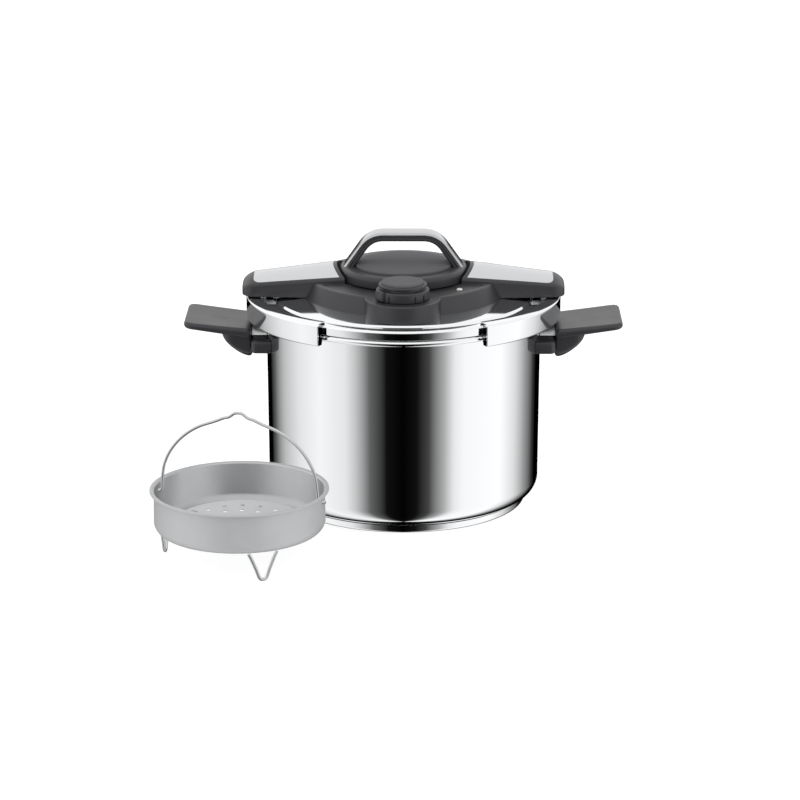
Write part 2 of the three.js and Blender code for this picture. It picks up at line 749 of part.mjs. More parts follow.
function hubNut() {
  const hexagon = new THREE.Shape().absarc(0, 0, 5, 0, 2 * Math.PI);
  return cut(prism(hexagon, hubWeb + GAP, hubWeb + GAP + 3, 3), cylinder(studR + GAP, 0, 300));
}

// ---------- Selector, valves ----------

function selectorKnob() {
  const floor = coverTop + GAP;
  const top = floor + KNOB_HEIGHT;
  const neck = floor + KNOB_RING;
  const body = turned([
    [3.4, floor + 6],
    [5.5, floor + 6],
    [5.5, top - 4],
    [KNOB_TOP_R - 3, top - 4],
    [KNOB_R - 2.2, neck - 2.5],
    [KNOB_R - 2.2, floor],
    [KNOB_R, floor],
    [KNOB_R, neck - 1],
    [KNOB_R - 1, neck],
    [KNOB_TOP_R - 1.5, neck + 0.6],
    [KNOB_TOP_R - 1.5, neck + 2],
    [KNOB_TOP_R, neck + 2.6],
    [KNOB_TOP_R, top - 1.5],
    [KNOB_TOP_R - 2, top - 1.2],
    [3.4, top - 1.2],
  ], 32);
  const tabTurn = THREE.MathUtils.degToRad(-145);
  const tab = box(KNOB_R - 1.5, KNOB_R + 2, -5, 5, floor + 0.4, neck + 0.8).rotateZ(tabTurn);
  const slotTurn = THREE.MathUtils.degToRad(-62);
  const slot = box(KNOB_R - 1, KNOB_R + 2, -0.8, 0.8, floor - 1, floor + 5).rotateZ(slotTurn);
  return at(valve, cut(join(body, tab), slot));
}

function selectorCap() {
  const floor = coverTop + GAP + KNOB_HEIGHT - 1.2 + GAP;
  return at(valve, turned([
    [0, floor - 2],
    [3, floor - 2],
    [3, floor],
    [KNOB_TOP_R - 2.4, floor],
    [KNOB_TOP_R - 2.4, floor + 0.8],
    [KNOB_TOP_R - 3.4, floor + 1.4],
    [0, floor + 2],
  ], 32));
}

/** Height of the lid's dome under the inner side of a fitting. */
const seat = (place) => domeZ(Math.hypot(place.x, place.y) - fittingR - 4) + GAP;

/** A threaded fitting through the lid, with its head below and a bore for its plunger. */
function fitting(place, top, boreR) {
  const below = domeZ(Math.hypot(place.x, place.y) + fittingR + 4) - LID_SHEET - GAP;
  return at(place, turned([
    [boreR, below - 3],
    [fittingR + 4, below - 3],
    [fittingR + 4, below],
    [fittingR, below],
    [fittingR, top],
    [boreR, top],
  ], 20));
}

function fittingNut(place) {
  const hexagon = new THREE.Shape().absarc(0, 0, fittingR + 3.5, 0, 2 * Math.PI);
  const from = seat(place);
  return at(place, cut(prism(hexagon, from, from + 3, 3), cylinder(fittingR + GAP, 0, 300, 20)));
}

/** A mushroom plunger that rests with its head on the end of a fitting. */
function plunger(place, seatZ, shaftR, headR) {
  const foot = seatZ - 12;
  return at(place, turned([[0, foot], [shaftR - 0.8, foot], [shaftR, foot + 2], [shaftR, seatZ + GAP],
    [headR, seatZ + GAP], [headR, seatZ + 1.6], [headR - 0.8, seatZ + 2.4], [0, seatZ + 2.4]], SMALL_ROUND));
}

/** The soft grommet the indicator pin rises through. */
function indicatorSeal() {
  const top = seat(indicator) + 0.2;
  const below = top - 5;
  return at(indicator, turned([[3, below], [8, below], [8, below + 1.4], [fittingR, below + 1.4], [fittingR, top],
    [7.6, top], [7.6, top + 1.2], [3, top + 1.2]], SMALL_ROUND));
}

function indicatorPin() {
  const foot = seat(indicator) - 13;
  return at(indicator, turned([[0, foot], [4.2, foot], [4.2, foot + 1.4], [2.6, foot + 1.4],
    [2.6, coverTop - 0.6], [2, coverTop], [0, coverTop]], SMALL_ROUND));
}

function valves() {
  const steamTop = coverTop - 1;
  const reliefTop = coverTop - COVER_WALL - 5;
  return group(
    piece("steam_fitting", fitting(valve, steamTop, 3), "satinSteel"),
    piece("steam_fitting_nut", fittingNut(valve), "satinSteel"),
    piece("steam_plunger", plunger(valve, steamTop, 2.6, 4.6), "satinSteel"),
    piece("relief_fitting", fitting(relief, reliefTop, 2.4), "satinSteel"),
    piece("relief_fitting_nut", fittingNut(relief), "satinSteel"),
    piece("relief_plunger", plunger(relief, reliefTop, 2, 4), "satinSteel"),
    piece("indicator_seal", indicatorSeal(), "silicone"),
    piece("indicator_pin", indicatorPin(), "indicatorWhite"),
  );
}

function lid() {
  return group(
    piece("lid_shell", lidShell(), "polishedSteel"),
    piece("gasket_channel", gasketChannel(), "satinSteel"),
    piece("lid_gasket", gasket(), "silicone"),
    piece("slide_bridge", slideBridge(), "satinSteel"),
    piece("hub_stud", hubStud(), "satinSteel"),
    piece("hub_pinion", pinion(), "springSteel"),
    bothSides(clampSide),
    piece("lid_cover", lidCover(), "blackPlastic"),
    bothSides((side) => group(piece(`arm_trim_${side}`, armTrim(), "silverTrim"))),
    piece("hub_collar", hubCollar(), "blackPlastic"),
    piece("hub_nut", hubNut(), "satinSteel"),
    piece("hub_cap", hubCap(), "greyPlastic"),
    piece("bow_strap", bowPart(0, BOW_STRAP, BOW_DEPTH), "polishedSteel"),
    piece("bow_lining", bowPart(BOW_STRAP + 0.15, BOW_STRAP + BOW_LINING, BOW_DEPTH - 1.5), "blackPlastic"),
    piece("selector_knob", selectorKnob(), "blackPlastic"),
    piece("selector_cap", selectorCap(), "greyPlastic"),
    valves(),
  );
}

// ---------- Basket ----------

function basketPan() {
  const corner = BASKET_CORNER;
  const top = LEG_HEIGHT + BASKET_DEPTH;
  const inner = corner - BASKET_SHEET;
  const floor = LEG_HEIGHT + BASKET_STEP;
  const cornerX = BASKET_R - corner;
  const stepR = cornerX - 5;
  const pan = turned([
    [0, floor],
    [stepR - 3, floor],
    [stepR, LEG_HEIGHT],
    ...arc(cornerX, LEG_HEIGHT + corner, corner, -90, 0, 4),
    [BASKET_R, top - 2.4],
    [BASKET_R + BASKET_LIP, top - 1.4],
    [BASKET_R + BASKET_LIP, top - 0.3],
    [BASKET_R, top],
    [BASKET_R - BASKET_SHEET, top - 1],
    ...arc(cornerX, LEG_HEIGHT + corner, inner, 0, -90, 4),
    [stepR + 0.4, LEG_HEIGHT + BASKET_SHEET],
    [stepR - 2.6, floor + BASKET_SHEET],
    [0, floor + BASKET_SHEET],
  ], ROUND);
  const hole = (r, a) => cylinder(2.2, 0, 40, 6).translate(r * Math.cos(a), r * Math.sin(a), 0);
  const rings = [[1, 0], [6, 13], [12, 26], [16, 38]];
  const holes = rings.flatMap(([count, r]) =>
    Array.from({ length: count }, (_, i) => hole(r, (2 * Math.PI * i) / count)));
  const pivot = cylinder(BAIL_WIRE_R + GAP, -BASKET_R - 9, BASKET_R + 9, 8)
    .rotateY(Math.PI / 2).translate(0, 0, bailPivotZ).rotateZ(BAIL_AZIMUTH);
  return cut(pan, ...holes, pivot);
}

const bailPivotZ = LEG_HEIGHT + BASKET_DEPTH - 7;

/** A bowed wire handle with a small peak, its ends turned out through the basket's wall. */
function bail() {
  const side = BASKET_R - BASKET_SHEET - 3;
  const end = BASKET_R + 2.5;
  const half = [[end, 0], [side + 1.5, 0], [side, 1.8], [side - 0.5, 8]];
  for (let i = 1; i <= 5; i++) {
    const a = (Math.PI / 2) * (i / 6.2);
    half.push([(side - 0.5) * Math.cos(a), 8 + (BAIL_HEIGHT - 8) * Math.sin(a)]);
  }
  half.push([12, BAIL_HEIGHT + 0.5], [7.5, BAIL_HEIGHT + 1.8], [2.8, BAIL_HEIGHT + 5]);
  const whole = [...half, ...half.slice().reverse().map(([x, z]) => [-x, z])];
  const curve = new THREE.CatmullRomCurve3(
    whole.map(([x, z]) => new THREE.Vector3(x, 0, z + bailPivotZ)), false, "centripetal");
  return wire(curve, BAIL_WIRE_R, 60, 6).rotateZ(BAIL_AZIMUTH);
}

/** A wire foot: a narrow V that hangs from the basket's underside and touches down at its tip. */
function basketLeg(azimuth) {
  const r = BASKET_R - 5;
  const top = LEG_HEIGHT + 0.5 - LEG_WIRE_R;
  const points = [[-12.5, top], [-10.5, top - 1.2], [-6, LEG_HEIGHT * 0.45], [-2.4, LEG_WIRE_R + 1], [0, LEG_WIRE_R],
    [2.4, LEG_WIRE_R + 1], [6, LEG_HEIGHT * 0.45], [10.5, top - 1.2], [12.5, top]];
  const curve = new THREE.CatmullRomCurve3(
    points.map(([x, z]) => new THREE.Vector3(x, -r, z)), false, "centripetal");
  return wire(curve, LEG_WIRE_R, 24, 6).rotateZ(azimuth);
}

function basket() {
  const names = ["front", "rear", "side"];
  const made = group(
    piece("basket_pan", basketPan(), "satinSteel"),
    piece("basket_bail", bail(), "satinSteel"),
    ...names.map((name, i) => piece(
      `basket_leg_${name}`,
      basketLeg(THREE.MathUtils.degToRad(20 + 120 * i)),
      "satinSteel",
    )),
  );
  made.position.set(basketX, basketY, 0);
  return made;
}

export default group(pot(), lid(), basket());
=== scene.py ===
# %% [markdown]
# # A pressure canner
# The whole object is steel and moulded plastic: a mirror-polished pot with two grips, a lid whose jaws
# are drawn in by turning a bow handle, and a perforated basket beside it. The CAD model gives every
# place and size. Here its visible pieces get finer surfaces, and each finish gets its own material.

# %% Load the frame
import json
import math

import bmesh
import bpy
import numpy as np
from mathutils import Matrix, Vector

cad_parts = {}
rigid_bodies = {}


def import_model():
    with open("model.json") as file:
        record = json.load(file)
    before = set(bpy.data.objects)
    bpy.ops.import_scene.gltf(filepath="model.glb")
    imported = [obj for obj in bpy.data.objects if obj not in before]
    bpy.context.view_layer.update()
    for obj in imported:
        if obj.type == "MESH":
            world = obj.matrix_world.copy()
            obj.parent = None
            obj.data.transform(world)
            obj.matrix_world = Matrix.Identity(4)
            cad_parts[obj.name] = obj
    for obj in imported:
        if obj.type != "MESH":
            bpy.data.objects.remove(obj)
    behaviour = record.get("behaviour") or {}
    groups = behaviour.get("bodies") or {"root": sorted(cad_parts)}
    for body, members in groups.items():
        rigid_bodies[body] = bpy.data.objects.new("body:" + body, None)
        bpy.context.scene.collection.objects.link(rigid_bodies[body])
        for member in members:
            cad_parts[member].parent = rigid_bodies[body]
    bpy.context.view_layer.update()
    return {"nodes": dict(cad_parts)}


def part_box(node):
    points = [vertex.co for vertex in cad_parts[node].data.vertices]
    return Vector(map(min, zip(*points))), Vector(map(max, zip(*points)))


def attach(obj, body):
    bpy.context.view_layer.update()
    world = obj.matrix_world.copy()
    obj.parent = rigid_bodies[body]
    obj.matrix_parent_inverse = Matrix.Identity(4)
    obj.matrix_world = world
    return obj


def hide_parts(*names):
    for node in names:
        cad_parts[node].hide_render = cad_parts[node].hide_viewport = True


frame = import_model()
nodes = frame["nodes"]
MM = 0.001  # metres in a millimetre


def span(node):
    """The lowest and highest corner of a CAD node, in millimetres."""
    return [np.array(corner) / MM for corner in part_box(node)]


print("CAD nodes:", len(nodes))

# %% [markdown]
# ## The camera and the light
# The pot is a mirror, so its look is mostly the room round it. The room is drawn as a world: an even
# white ceiling above the horizon, and below it two wide white screens, left and right, with black
# between them in front and behind. The floor is a light table. It lights the object from below but
# is hidden from reflections, so that the steel shows the screens and not an endless white sheet.

# %% Camera
AIM = np.array([0.0, 0.0, 0.1])
DISTANCE = 2.6
TURN = math.radians(0.46)
TILT = math.radians(15.98)
LENS, SENSOR = 140, 36  # in millimetres, as a lens is marked
SHIFT = (-0.0044, -0.0244)
FAR = 50

lens = bpy.data.cameras.new("camera")
lens.sensor_width = SENSOR
lens.lens = LENS
lens.shift_x, lens.shift_y = SHIFT
lens.clip_end = FAR
camera = bpy.data.objects.new("camera", lens)
camera.location = AIM + DISTANCE * np.array([
    math.sin(TURN) * math.cos(TILT), -math.cos(TURN) * math.cos(TILT), math.sin(TILT)])
camera.rotation_euler = (math.pi / 2 - TILT, 0, TURN)
bpy.context.scene.collection.objects.link(camera)
bpy.context.scene.camera = camera
bpy.context.scene.view_settings.view_transform = "Standard"


# %% Helpers for colours and nodes
def linear(level):
    """A display level from 0 to 1 as linear light, by the sRGB curve."""
    return level / 12.92 if level <= 0.04045 else ((level + 0.055) / 1.055) ** 2.4


def colour(code):
    """A hex sRGB colour such as "#8d8f91" as linear red, green, blue and alpha."""
    return [linear(int(code[i:i + 2], 16) / 255) for i in (1, 3, 5)] + [1]


def add(tree, kind, settings=None, **links):
    """Adds a node. Settings name its properties or, in title case, its sockets. Links feed its sockets,
    by name or, after an underscore, by number."""
    node = tree.nodes.new(kind)
    for name, value in (settings or {}).items():
        if hasattr(node, name):
            setattr(node, name, value)
        else:
            node.inputs[name].default_value = value
    for name, source in links.items():
        key = int(name[1:]) if name[0] == "_" else name.replace("_", " ")
        tree.links.new(source, node.inputs[key])
    return node


# %% The room
# Direction below the horizon, in degrees from the front, clockwise from above: (azimuth, display level).
SCREENS = [(-150, 0), (-139, .35), (-120, .73), (-98, .89), (-75, .96), (-50, .9), (-41, .77), (-28, .38),
           (-14, .06), (0, .01), (12, .06), (22, .26), (35, .67), (44, .91), (53, .97), (90, 1), (109, .86),
           (125, .59), (142, .2), (150, 0)]
SCREEN_STRENGTH = 1.3
STEEL_LIGHT = 0.84  # the share of light that polished steel sends back
CEILING = 1.12
CEILING_LEFT, CEILING_RIGHT = 1.06, 0.94  # the ceiling is a little brighter on the left
HORIZON_LOW, HORIZON_HIGH = -0.06, 0.02  # heights between which the screens give way to the ceiling

world = bpy.data.worlds.new("room")
world.use_nodes = True
bpy.context.scene.world = world
tree = world.node_tree
tree.nodes.clear()
place = add(tree, "ShaderNodeTexCoord")
axes = add(tree, "ShaderNodeSeparateXYZ", Vector=place.outputs["Generated"])
front = add(tree, "ShaderNodeMath", {"operation": "MULTIPLY"}, _0=axes.outputs["Y"])
front.inputs[1].default_value = -1
angle = add(tree, "ShaderNodeMath", {"operation": "ARCTAN2"}, _0=axes.outputs["X"], _1=front.outputs[0])
share = add(tree, "ShaderNodeMapRange", {"From Min": -math.pi, "From Max": math.pi},
            Value=angle.outputs[0])
screens = add(tree, "ShaderNodeValToRGB", Fac=share.outputs[0])
stops = screens.color_ramp.elements
while len(stops) < len(SCREENS):
    stops.new(0.5)
for stop, (azimuth, level) in zip(stops, SCREENS):
    stop.position = azimuth / 360 + 0.5
    light = linear(level) / STEEL_LIGHT / SCREEN_STRENGTH
    stop.color = (light, light, light, 1)
lower = add(tree, "ShaderNodeBackground", {"Strength": SCREEN_STRENGTH}, Color=screens.outputs["Color"])
side = add(tree, "ShaderNodeMapRange", {"From Min": -1, "To Min": CEILING_LEFT, "To Max": CEILING_RIGHT},
           Value=axes.outputs["X"])
upper = add(tree, "ShaderNodeBackground", {"Color": (1, 1, 1, 1)})
bright = add(tree, "ShaderNodeMath", {"operation": "MULTIPLY"}, _0=side.outputs[0])
bright.inputs[1].default_value = CEILING
tree.links.new(bright.outputs[0], upper.inputs["Strength"])
height = add(tree, "ShaderNodeMapRange", {"From Min": HORIZON_LOW, "From Max": HORIZON_HIGH},
             Value=axes.outputs["Z"])
room = add(tree, "ShaderNodeMixShader", Fac=height.outputs[0], _1=lower.outputs[0], _2=upper.outputs[0])
add(tree, "ShaderNodeOutputWorld", Surface=room.outputs[0])


# %% [markdown]
# ## Surfaces from numbers
# Every new piece is a grid of points: a profile turned about an axis, a cushion-like body between two
# height fields, or a section carried along a flat path. One function turns a grid into a mesh, closes
# its poles by merging the points that fall together, and makes its faces point outwards.

# %% From a grid to a piece
MERGE, SLIVER = 2e-6, 1e-6  # in metres: points this close are one, and edges this short go
INNERMOST = 0.03  # the last ring of a pillow, as a share of its outline; it is filled with one face


def grid_faces(rows, columns, wrap_rows, wrap_columns):
    """The four-sided faces of a grid: each joins a point to its next row and next column."""
    i = np.arange(rows if wrap_rows else rows - 1)[:, None]
    j = np.arange(columns if wrap_columns else columns - 1)[None, :]
    down, across = (i + 1) % rows, (j + 1) % columns
    corners = (i * columns + j, i * columns + across, down * columns + across, down * columns + j)
    return np.stack(np.broadcast_arrays(*corners), -1).reshape(-1, 4)


def shade(mesh, sharp=32):
    """Shades a mesh smooth but for edges over an angle."""
    mesh.polygons.foreach_set("use_smooth", np.ones(len(mesh.polygons), dtype=bool))
    mesh.set_sharp_from_angle(angle=math.radians(sharp))


def tidy(mesh):
    """Merges doubled points, turns faces outwards and shades the result."""
    work = bmesh.new()
    work.from_mesh(mesh)
    bmesh.ops.remove_doubles(work, verts=work.verts, dist=MERGE)
    bmesh.ops.dissolve_degenerate(work, edges=work.edges, dist=SLIVER)
    bmesh.ops.recalc_face_normals(work, faces=work.faces)
    work.to_mesh(mesh)
    work.free()
    shade(mesh)


def skin(name, points, wrap_rows=False, wrap_columns=True, ends=False):
    """A piece from a grid of points in millimetres, with its first and last rows filled if asked."""
    rows, columns = points.shape[:2]
    faces = grid_faces(rows, columns, wrap_rows, wrap_columns).tolist()
    if ends:
        faces += [list(range(columns)), list(range((rows - 1) * columns, rows * columns))]
    mesh = bpy.data.meshes.new(name)
    mesh.from_pydata((points.reshape(-1, 3) * MM).tolist(), [], faces)
    tidy(mesh)
    made = bpy.data.objects.new(name, mesh)
    bpy.context.scene.collection.objects.link(made)
    return made


def rounded(corners, radii, steps=6):
    """Rounds each corner: a quadratic curve from a radius before it to a radius after it, with the
    corner as its middle control point. A radius is at most half of the edge beside it."""
    corners = np.asarray(corners, float)
    radii = np.broadcast_to(radii, len(corners))

    def toward(other):
        edge = other - corners
        reach = np.minimum(0.5, radii / np.linalg.norm(edge, axis=1))
        return (corners + edge * reach[:, None])[:, None]

    before, after = toward(np.roll(corners, 1, 0)), toward(np.roll(corners, -1, 0))
    t = np.linspace(0, 1, steps + 1)[None, :, None]
    return ((1 - t) ** 2 * before + 2 * t * (1 - t) * corners[:, None] + t ** 2 * after).reshape(-1, 2)


def arc(x, y, r, start, end, steps=16):
    """Points on a circle: centre plus radius times cosine and sine of evenly spaced angles, in degrees."""
    a = np.radians(np.linspace(start, end, steps + 1))
    return np.stack([x + r * np.cos(a), y + r * np.sin(a)], -1)


def turned(name, profile, centre=(0, 0), steps=192, first=0, last=360):
    """A profile of (radius, height) turned about the upright line through a centre: x is radius times
    the angle's cosine, y is radius times its sine, z is the height. A profile that meets the axis
    starts and ends on it."""
    profile = np.asarray(profile, float)
    full = last - first == 360
    a = np.radians(np.linspace(first, last, steps + 1))[:-1 if full else None, None]
    r, z = profile[None, :, 0], profile[None, :, 1]
    points = np.stack([centre[0] + r * np.cos(a), centre[1] + r * np.sin(a), z + 0 * a], -1)
    return skin(name, points, full, profile[0, 0] > 0 or profile[-1, 0] > 0, ends=not full)


def even(plan, count):
    """A closed plan outline with its points spaced evenly along its length."""
    loop = np.vstack([plan, plan[:1]])
    along = np.concatenate([[0], np.cumsum(np.linalg.norm(np.diff(loop, axis=0), axis=1))])
    at = np.linspace(0, along[-1], count, endpoint=False)
    return np.stack([np.interp(at, along, loop[:, k]) for k in (0, 1)], -1)


def pillow(name, plan, top, bottom, edge, spine, foot_edge=None, count=240, rings=14):
    """A body between two height fields over a plan outline, its edges rounded to a radius. A ring on a
    rounded edge is the outline drawn in by r(1 - cos a), at the field's height less r(1 - sin a). The
    inner rings shrink towards a spine, a line along X: spine + s (outline - spine)."""
    plan = even(np.asarray(plan, float), count)
    along = np.roll(plan, -1, 0) - np.roll(plan, 1, 0)
    area = np.sum(plan[:, 0] * np.roll(plan[:, 1], -1) - plan[:, 1] * np.roll(plan[:, 0], -1))
    inward = np.stack([-along[:, 1], along[:, 0]], -1) * np.sign(area)
    inward /= np.linalg.norm(inward, axis=1)[:, None]
    low, high, across = spine

    def half(field, r, sign):
        a = np.linspace(0, math.pi / 2, 7)[:, None, None]
        edges = plan + inward * r * (1 - np.cos(a))
        s = np.linspace(1, INNERMOST, rings + 1)[1:, None, None]
        middle = np.stack([np.clip(edges[-1, :, 0], low, high), np.full(count, across)], -1)
        rows = np.concatenate([edges, middle + s * (edges[-1] - middle)])
        drop = np.concatenate([r * (1 - np.sin(a[:, :, 0])), np.zeros((rings, 1))])
        z = field(rows[..., 0], rows[..., 1]) - sign * drop
        return np.concatenate([rows, z[..., None]], -1)

    upper = half(top, edge, 1)
    under = half(bottom, edge if foot_edge is None else foot_edge, -1)[::-1]
    return skin(name, np.concatenate([under, upper]), ends=True)


def level_at(z):
    """A flat height field."""
    return lambda x, y: z + 0 * x


def carried(name, path, across, section, ends=True):
    """A section carried along a flat path. With t the path's direction and b the unit vector across its
    plane, a section point (p, q) lands at path + p (b x t) + q b."""
    path = np.asarray(path, float)
    across = np.asarray(across, float) / np.linalg.norm(across)
    t = np.gradient(path, axis=0)
    t /= np.linalg.norm(t, axis=1)[:, None]
    out = np.cross(across, t)
    section = np.asarray(section, float)
    points = path[:, None] + section[None, :, :1] * out[:, None] + section[None, :, 1:] * across
    return skin(name, points, ends=ends)


def combine(piece, others, operation):
    """Joins other closed pieces to one, or cuts them from it, and removes them. The result isn't merged
    again: that could open it, and the next step takes only closed pieces."""
    for other in others:
        step = piece.modifiers.new(operation, "BOOLEAN")
        step.operation, step.solver, step.object = operation, "MANIFOLD", other
    graph = bpy.context.evaluated_depsgraph_get()
    result = bpy.data.meshes.new_from_object(piece.evaluated_get(graph))
    piece.modifiers.clear()
    piece.data = result
    shade(result)
    for other in others:
        bpy.data.objects.remove(other)
    return piece


def turned_copy(piece, name, angle=math.pi):
    """A copy of a piece turned about the upright axis, with the turn in its mesh."""
    c, s = math.cos(angle), math.sin(angle)
    mesh = piece.data.copy()
    points = np.empty(len(mesh.vertices) * 3)
    mesh.vertices.foreach_get("co", points)
    points = points.reshape(-1, 3) @ np.array([[c, s, 0], [-s, c, 0], [0, 0, 1]])
    mesh.vertices.foreach_set("co", points.ravel())
    mesh.update()
    made = bpy.data.objects.new(name, mesh)
    bpy.context.scene.collection.objects.link(made)
    return made


# %% [markdown]
# ## Finishes
# Each finish starts from the real material: stainless steel polished or brushed, filled nylon moulded
# in a fine-textured tool, silicone, aluminium. Patterns read object coordinates, which are metres
# here, so a pattern of a given size in millimetres has a scale of 1000 over that size.

# %% One function for a finish
def finish(name, code, metallic, roughness, spread=0.03, grain=0.0, size=1.0, stretch=(1, 1, 1),
           blotch=60, tint=0.0, **sockets):
    """A Principled surface. Its roughness wanders by spread over patches blotch mm wide, and its grain,
    a bump grain mm deep, has cells size mm wide, squeezed by stretch. Tint makes some patches darker
    and some lighter by that share."""
    made = bpy.data.materials.new(name)
    made.use_nodes = True
    tree = made.node_tree
    tree.nodes.clear()
    place = add(tree, "ShaderNodeTexCoord")
    wide = add(tree, "ShaderNodeTexNoise", {"Scale": 1000 / blotch, "Detail": 3},
               Vector=place.outputs["Object"])
    rough = add(tree, "ShaderNodeMapRange",
                {"To Min": max(0.01, roughness - spread), "To Max": roughness + spread},
                Value=wide.outputs["Fac"])
    surface = add(tree, "ShaderNodeBsdfPrincipled",
                  {"Metallic": metallic, "Base Color": colour(code), **sockets}, Roughness=rough.outputs[0])
    if tint:
        mottle = add(tree, "ShaderNodeMix", {"data_type": "RGBA"}, _0=wide.outputs["Fac"])
        base = np.array(colour(code))
        mottle.inputs[6].default_value = [*(base[:3] * (1 - tint)), 1]
        mottle.inputs[7].default_value = [*np.minimum(1, base[:3] * (1 + tint)), 1]
        tree.links.new(mottle.outputs[2], surface.inputs["Base Color"])
    if grain:
        squeeze = add(tree, "ShaderNodeMapping", {"Scale": stretch}, Vector=place.outputs["Object"])
        fine = add(tree, "ShaderNodeTexNoise", {"Scale": 1000 / size, "Detail": 4},
                   Vector=squeeze.outputs[0])
        bump = add(tree, "ShaderNodeBump", {"Strength": 1.0, "Distance": grain * MM},
                   Height=fine.outputs["Fac"])
        tree.links.new(bump.outputs[0], surface.inputs["Normal"])
    add(tree, "ShaderNodeOutputMaterial", Surface=surface.outputs[0])
    return made


# %% The finishes
FINISHES = {
    # 18/10 stainless, buffed to a mirror: clear reflections, a trace of haze that comes and goes.
    "polished_steel": finish("polished stainless steel", "#ECEDEE", 1, 0.055, 0.02, blotch=45),
    # The bow's strap: the same steel under a finer, darker polish, worn by hands.
    "bow_steel": finish("hand-polished steel strap", "#B4B5B7", 1, 0.16, 0.04, blotch=12, tint=0.06),
    # The same steel brushed in the direction it was spun: reflections smear up and down.
    "satin_steel": finish("brushed stainless steel", "#C6C7C8", 1, 0.3, 0.05, grain=0.03, size=6,
                          stretch=(1, 1, 24), blotch=25),
    # The basket's outside: blasted to a matte grey that takes light evenly from all sides.
    "matte_steel": finish("blasted stainless steel", "#B3B4B5", 0.3, 0.48, 0.06, grain=0.02, size=3,
                          stretch=(1, 1, 8), blotch=20, tint=0.05),
    # The insides of the basket and the pot, left smoother by the tools that shaped them.
    "spun_steel": finish("spun stainless steel", "#BEBFC1", 0.45, 0.36, 0.06, grain=0.015, size=5,
                         stretch=(1, 1, 12), blotch=22, tint=0.1),
    # Hardened steel for screws and gear, ground and oiled.
    "spring_steel": finish("ground spring steel", "#A9AAAC", 1, 0.3, 0.05, grain=0.01, size=0.8),
    # Rolled aluminium, grey and soft: it only shows as a line round the base.
    "aluminium": finish("rolled aluminium", "#C9CBCD", 1, 0.42, 0.05, grain=0.01, size=1.2,
                        stretch=(1, 1, 8)),
    # A stamped plate with a satin plating: bright, with soft reflections.
    "silver_trim": finish("satin nickel plate", "#C9CACC", 1, 0.24, 0.03, grain=0.004, size=0.7,
                          blotch=30),
    # Glass-filled nylon from a spark-textured mould: near black, its grain about half a millimetre.
    "black_plastic": finish("black moulded nylon", "#2B2B2E", 0, 0.4, 0.05, grain=0.012, size=0.7,
                            blotch=18, tint=0.12, IOR=1.5),
    # The same nylon, its dark grey a painted sheen, for the hub's cap and the selector's lid, with a
    # coarser, duller texture.
    "grey_plastic": finish("nylon with painted sheen", "#5C5C5F", 0, 0.62, 0.05, grain=0.012, size=0.7,
                           blotch=18, tint=0.06, IOR=1.2),
    # Cured silicone rubber: soft, slightly waxy.
    "silicone": finish("grey silicone rubber", "#8D8F91", 0, 0.6, 0.06, grain=0.01, size=1, IOR=1.43),
    # White ABS for the pin that shows pressure.
    "indicator_white": finish("white moulded ABS", "#DEDEDC", 0, 0.32, 0.04, grain=0.006, size=0.5,
                              IOR=1.54),
}


def watertight(piece):
    """Whether every edge of a piece joins exactly two faces."""
    counts = np.zeros(len(piece.data.edges), int)
    used = np.empty(len(piece.data.loops), int)
    piece.data.loops.foreach_get("edge_index", used)
    np.add.at(counts, used, 1)
    return bool((counts == 2).all())


def dress(piece, slot, body, *replaced, look=None):
    """Gives a new piece its finish and its body, and hides the CAD nodes it stands for."""
    piece.data.materials.clear()
    piece.data.materials.append(FINISHES[look or slot])
    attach(piece, body)
    if replaced:
        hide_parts(*replaced)
    closed = "closed" if watertight(piece) else "OPEN"
    print(piece.name, len(piece.data.polygons), "faces on", body, closed)
    return piece


def line_inside(piece, look, centre, reach):
    """Gives a vessel's inside a second finish: the faces within a reach of its axis that face the axis
    or upwards."""
    upwards = 0.1  # the least height of a unit normal that counts as facing up
    piece.data.materials.append(FINISHES[look])
    middles, facing = (np.empty(len(piece.data.polygons) * 3) for _ in range(2))
    piece.data.polygons.foreach_get("center", middles)
    piece.data.polygons.foreach_get("normal", facing)
    middles, facing = middles.reshape(-1, 3)[:, :2] / MM - centre, facing.reshape(-1, 3)
    inward = (middles * facing[:, :2]).sum(1) < 0
    inside = (np.hypot(*middles.T) < reach) & (inward | (facing[:, 2] > upwards))
    piece.data.polygons.foreach_set("material_index", inside.astype(np.int32))


# %% [markdown]
# ## The pot
# A deep-drawn pot is one sheet of steel: a flat floor, a soft corner, a wall that opens slightly
# towards the top and a rim rolled outwards into a bead. One closed profile turned round makes it all.

# %% Pot body
WALL, TAPER, CORNER, BEAD = 1.2, 0.9, 15.0, 2.9
POLISHED_LIP = 3.5  # how much of the bead's width is polished with the outside
low, high = span("pot_body")
bead_x, bead_z = high[0] - BEAD, high[2] - BEAD
pot_floor = low[2]
wall_r = bead_x - BEAD + WALL  # the wall's outside, at the rim
corner_x = wall_r - TAPER - CORNER
profile = np.vstack([
    [[0, pot_floor]],
    arc(corner_x, pot_floor + CORNER, CORNER, -90, 0, 24),
    arc(bead_x, bead_z, BEAD, -122, 170, 28),
    [[wall_r - WALL, bead_z - 1]],
    arc(corner_x, pot_floor + CORNER, CORNER - WALL, 0, -90, 24),
    [[0, pot_floor + WALL]],
])
wall = dress(turned("pot_wall", profile, steps=256), "polished_steel", "pot", "pot_body")
line_inside(wall, "spun_steel", (0, 0), high[0] - POLISHED_LIP)

# %% Base
# The steel cap is pressed over the aluminium layer, so its lower edge is rounded.
SKIN, EDGE, BREAK = 0.8, 2, 0.3
low, high = span("base_cap")
r, top = high[0], high[2]
profile = np.vstack([
    [[0, 0]],
    arc(r - EDGE, EDGE, EDGE, -90, 0, 8),
    [[r, top - BREAK], [r - BREAK, top], [r - SKIN, top], [r - SKIN, SKIN], [0, SKIN]]])
dress(turned("base_plate", profile, steps=256), "polished_steel", "pot", "base_cap")

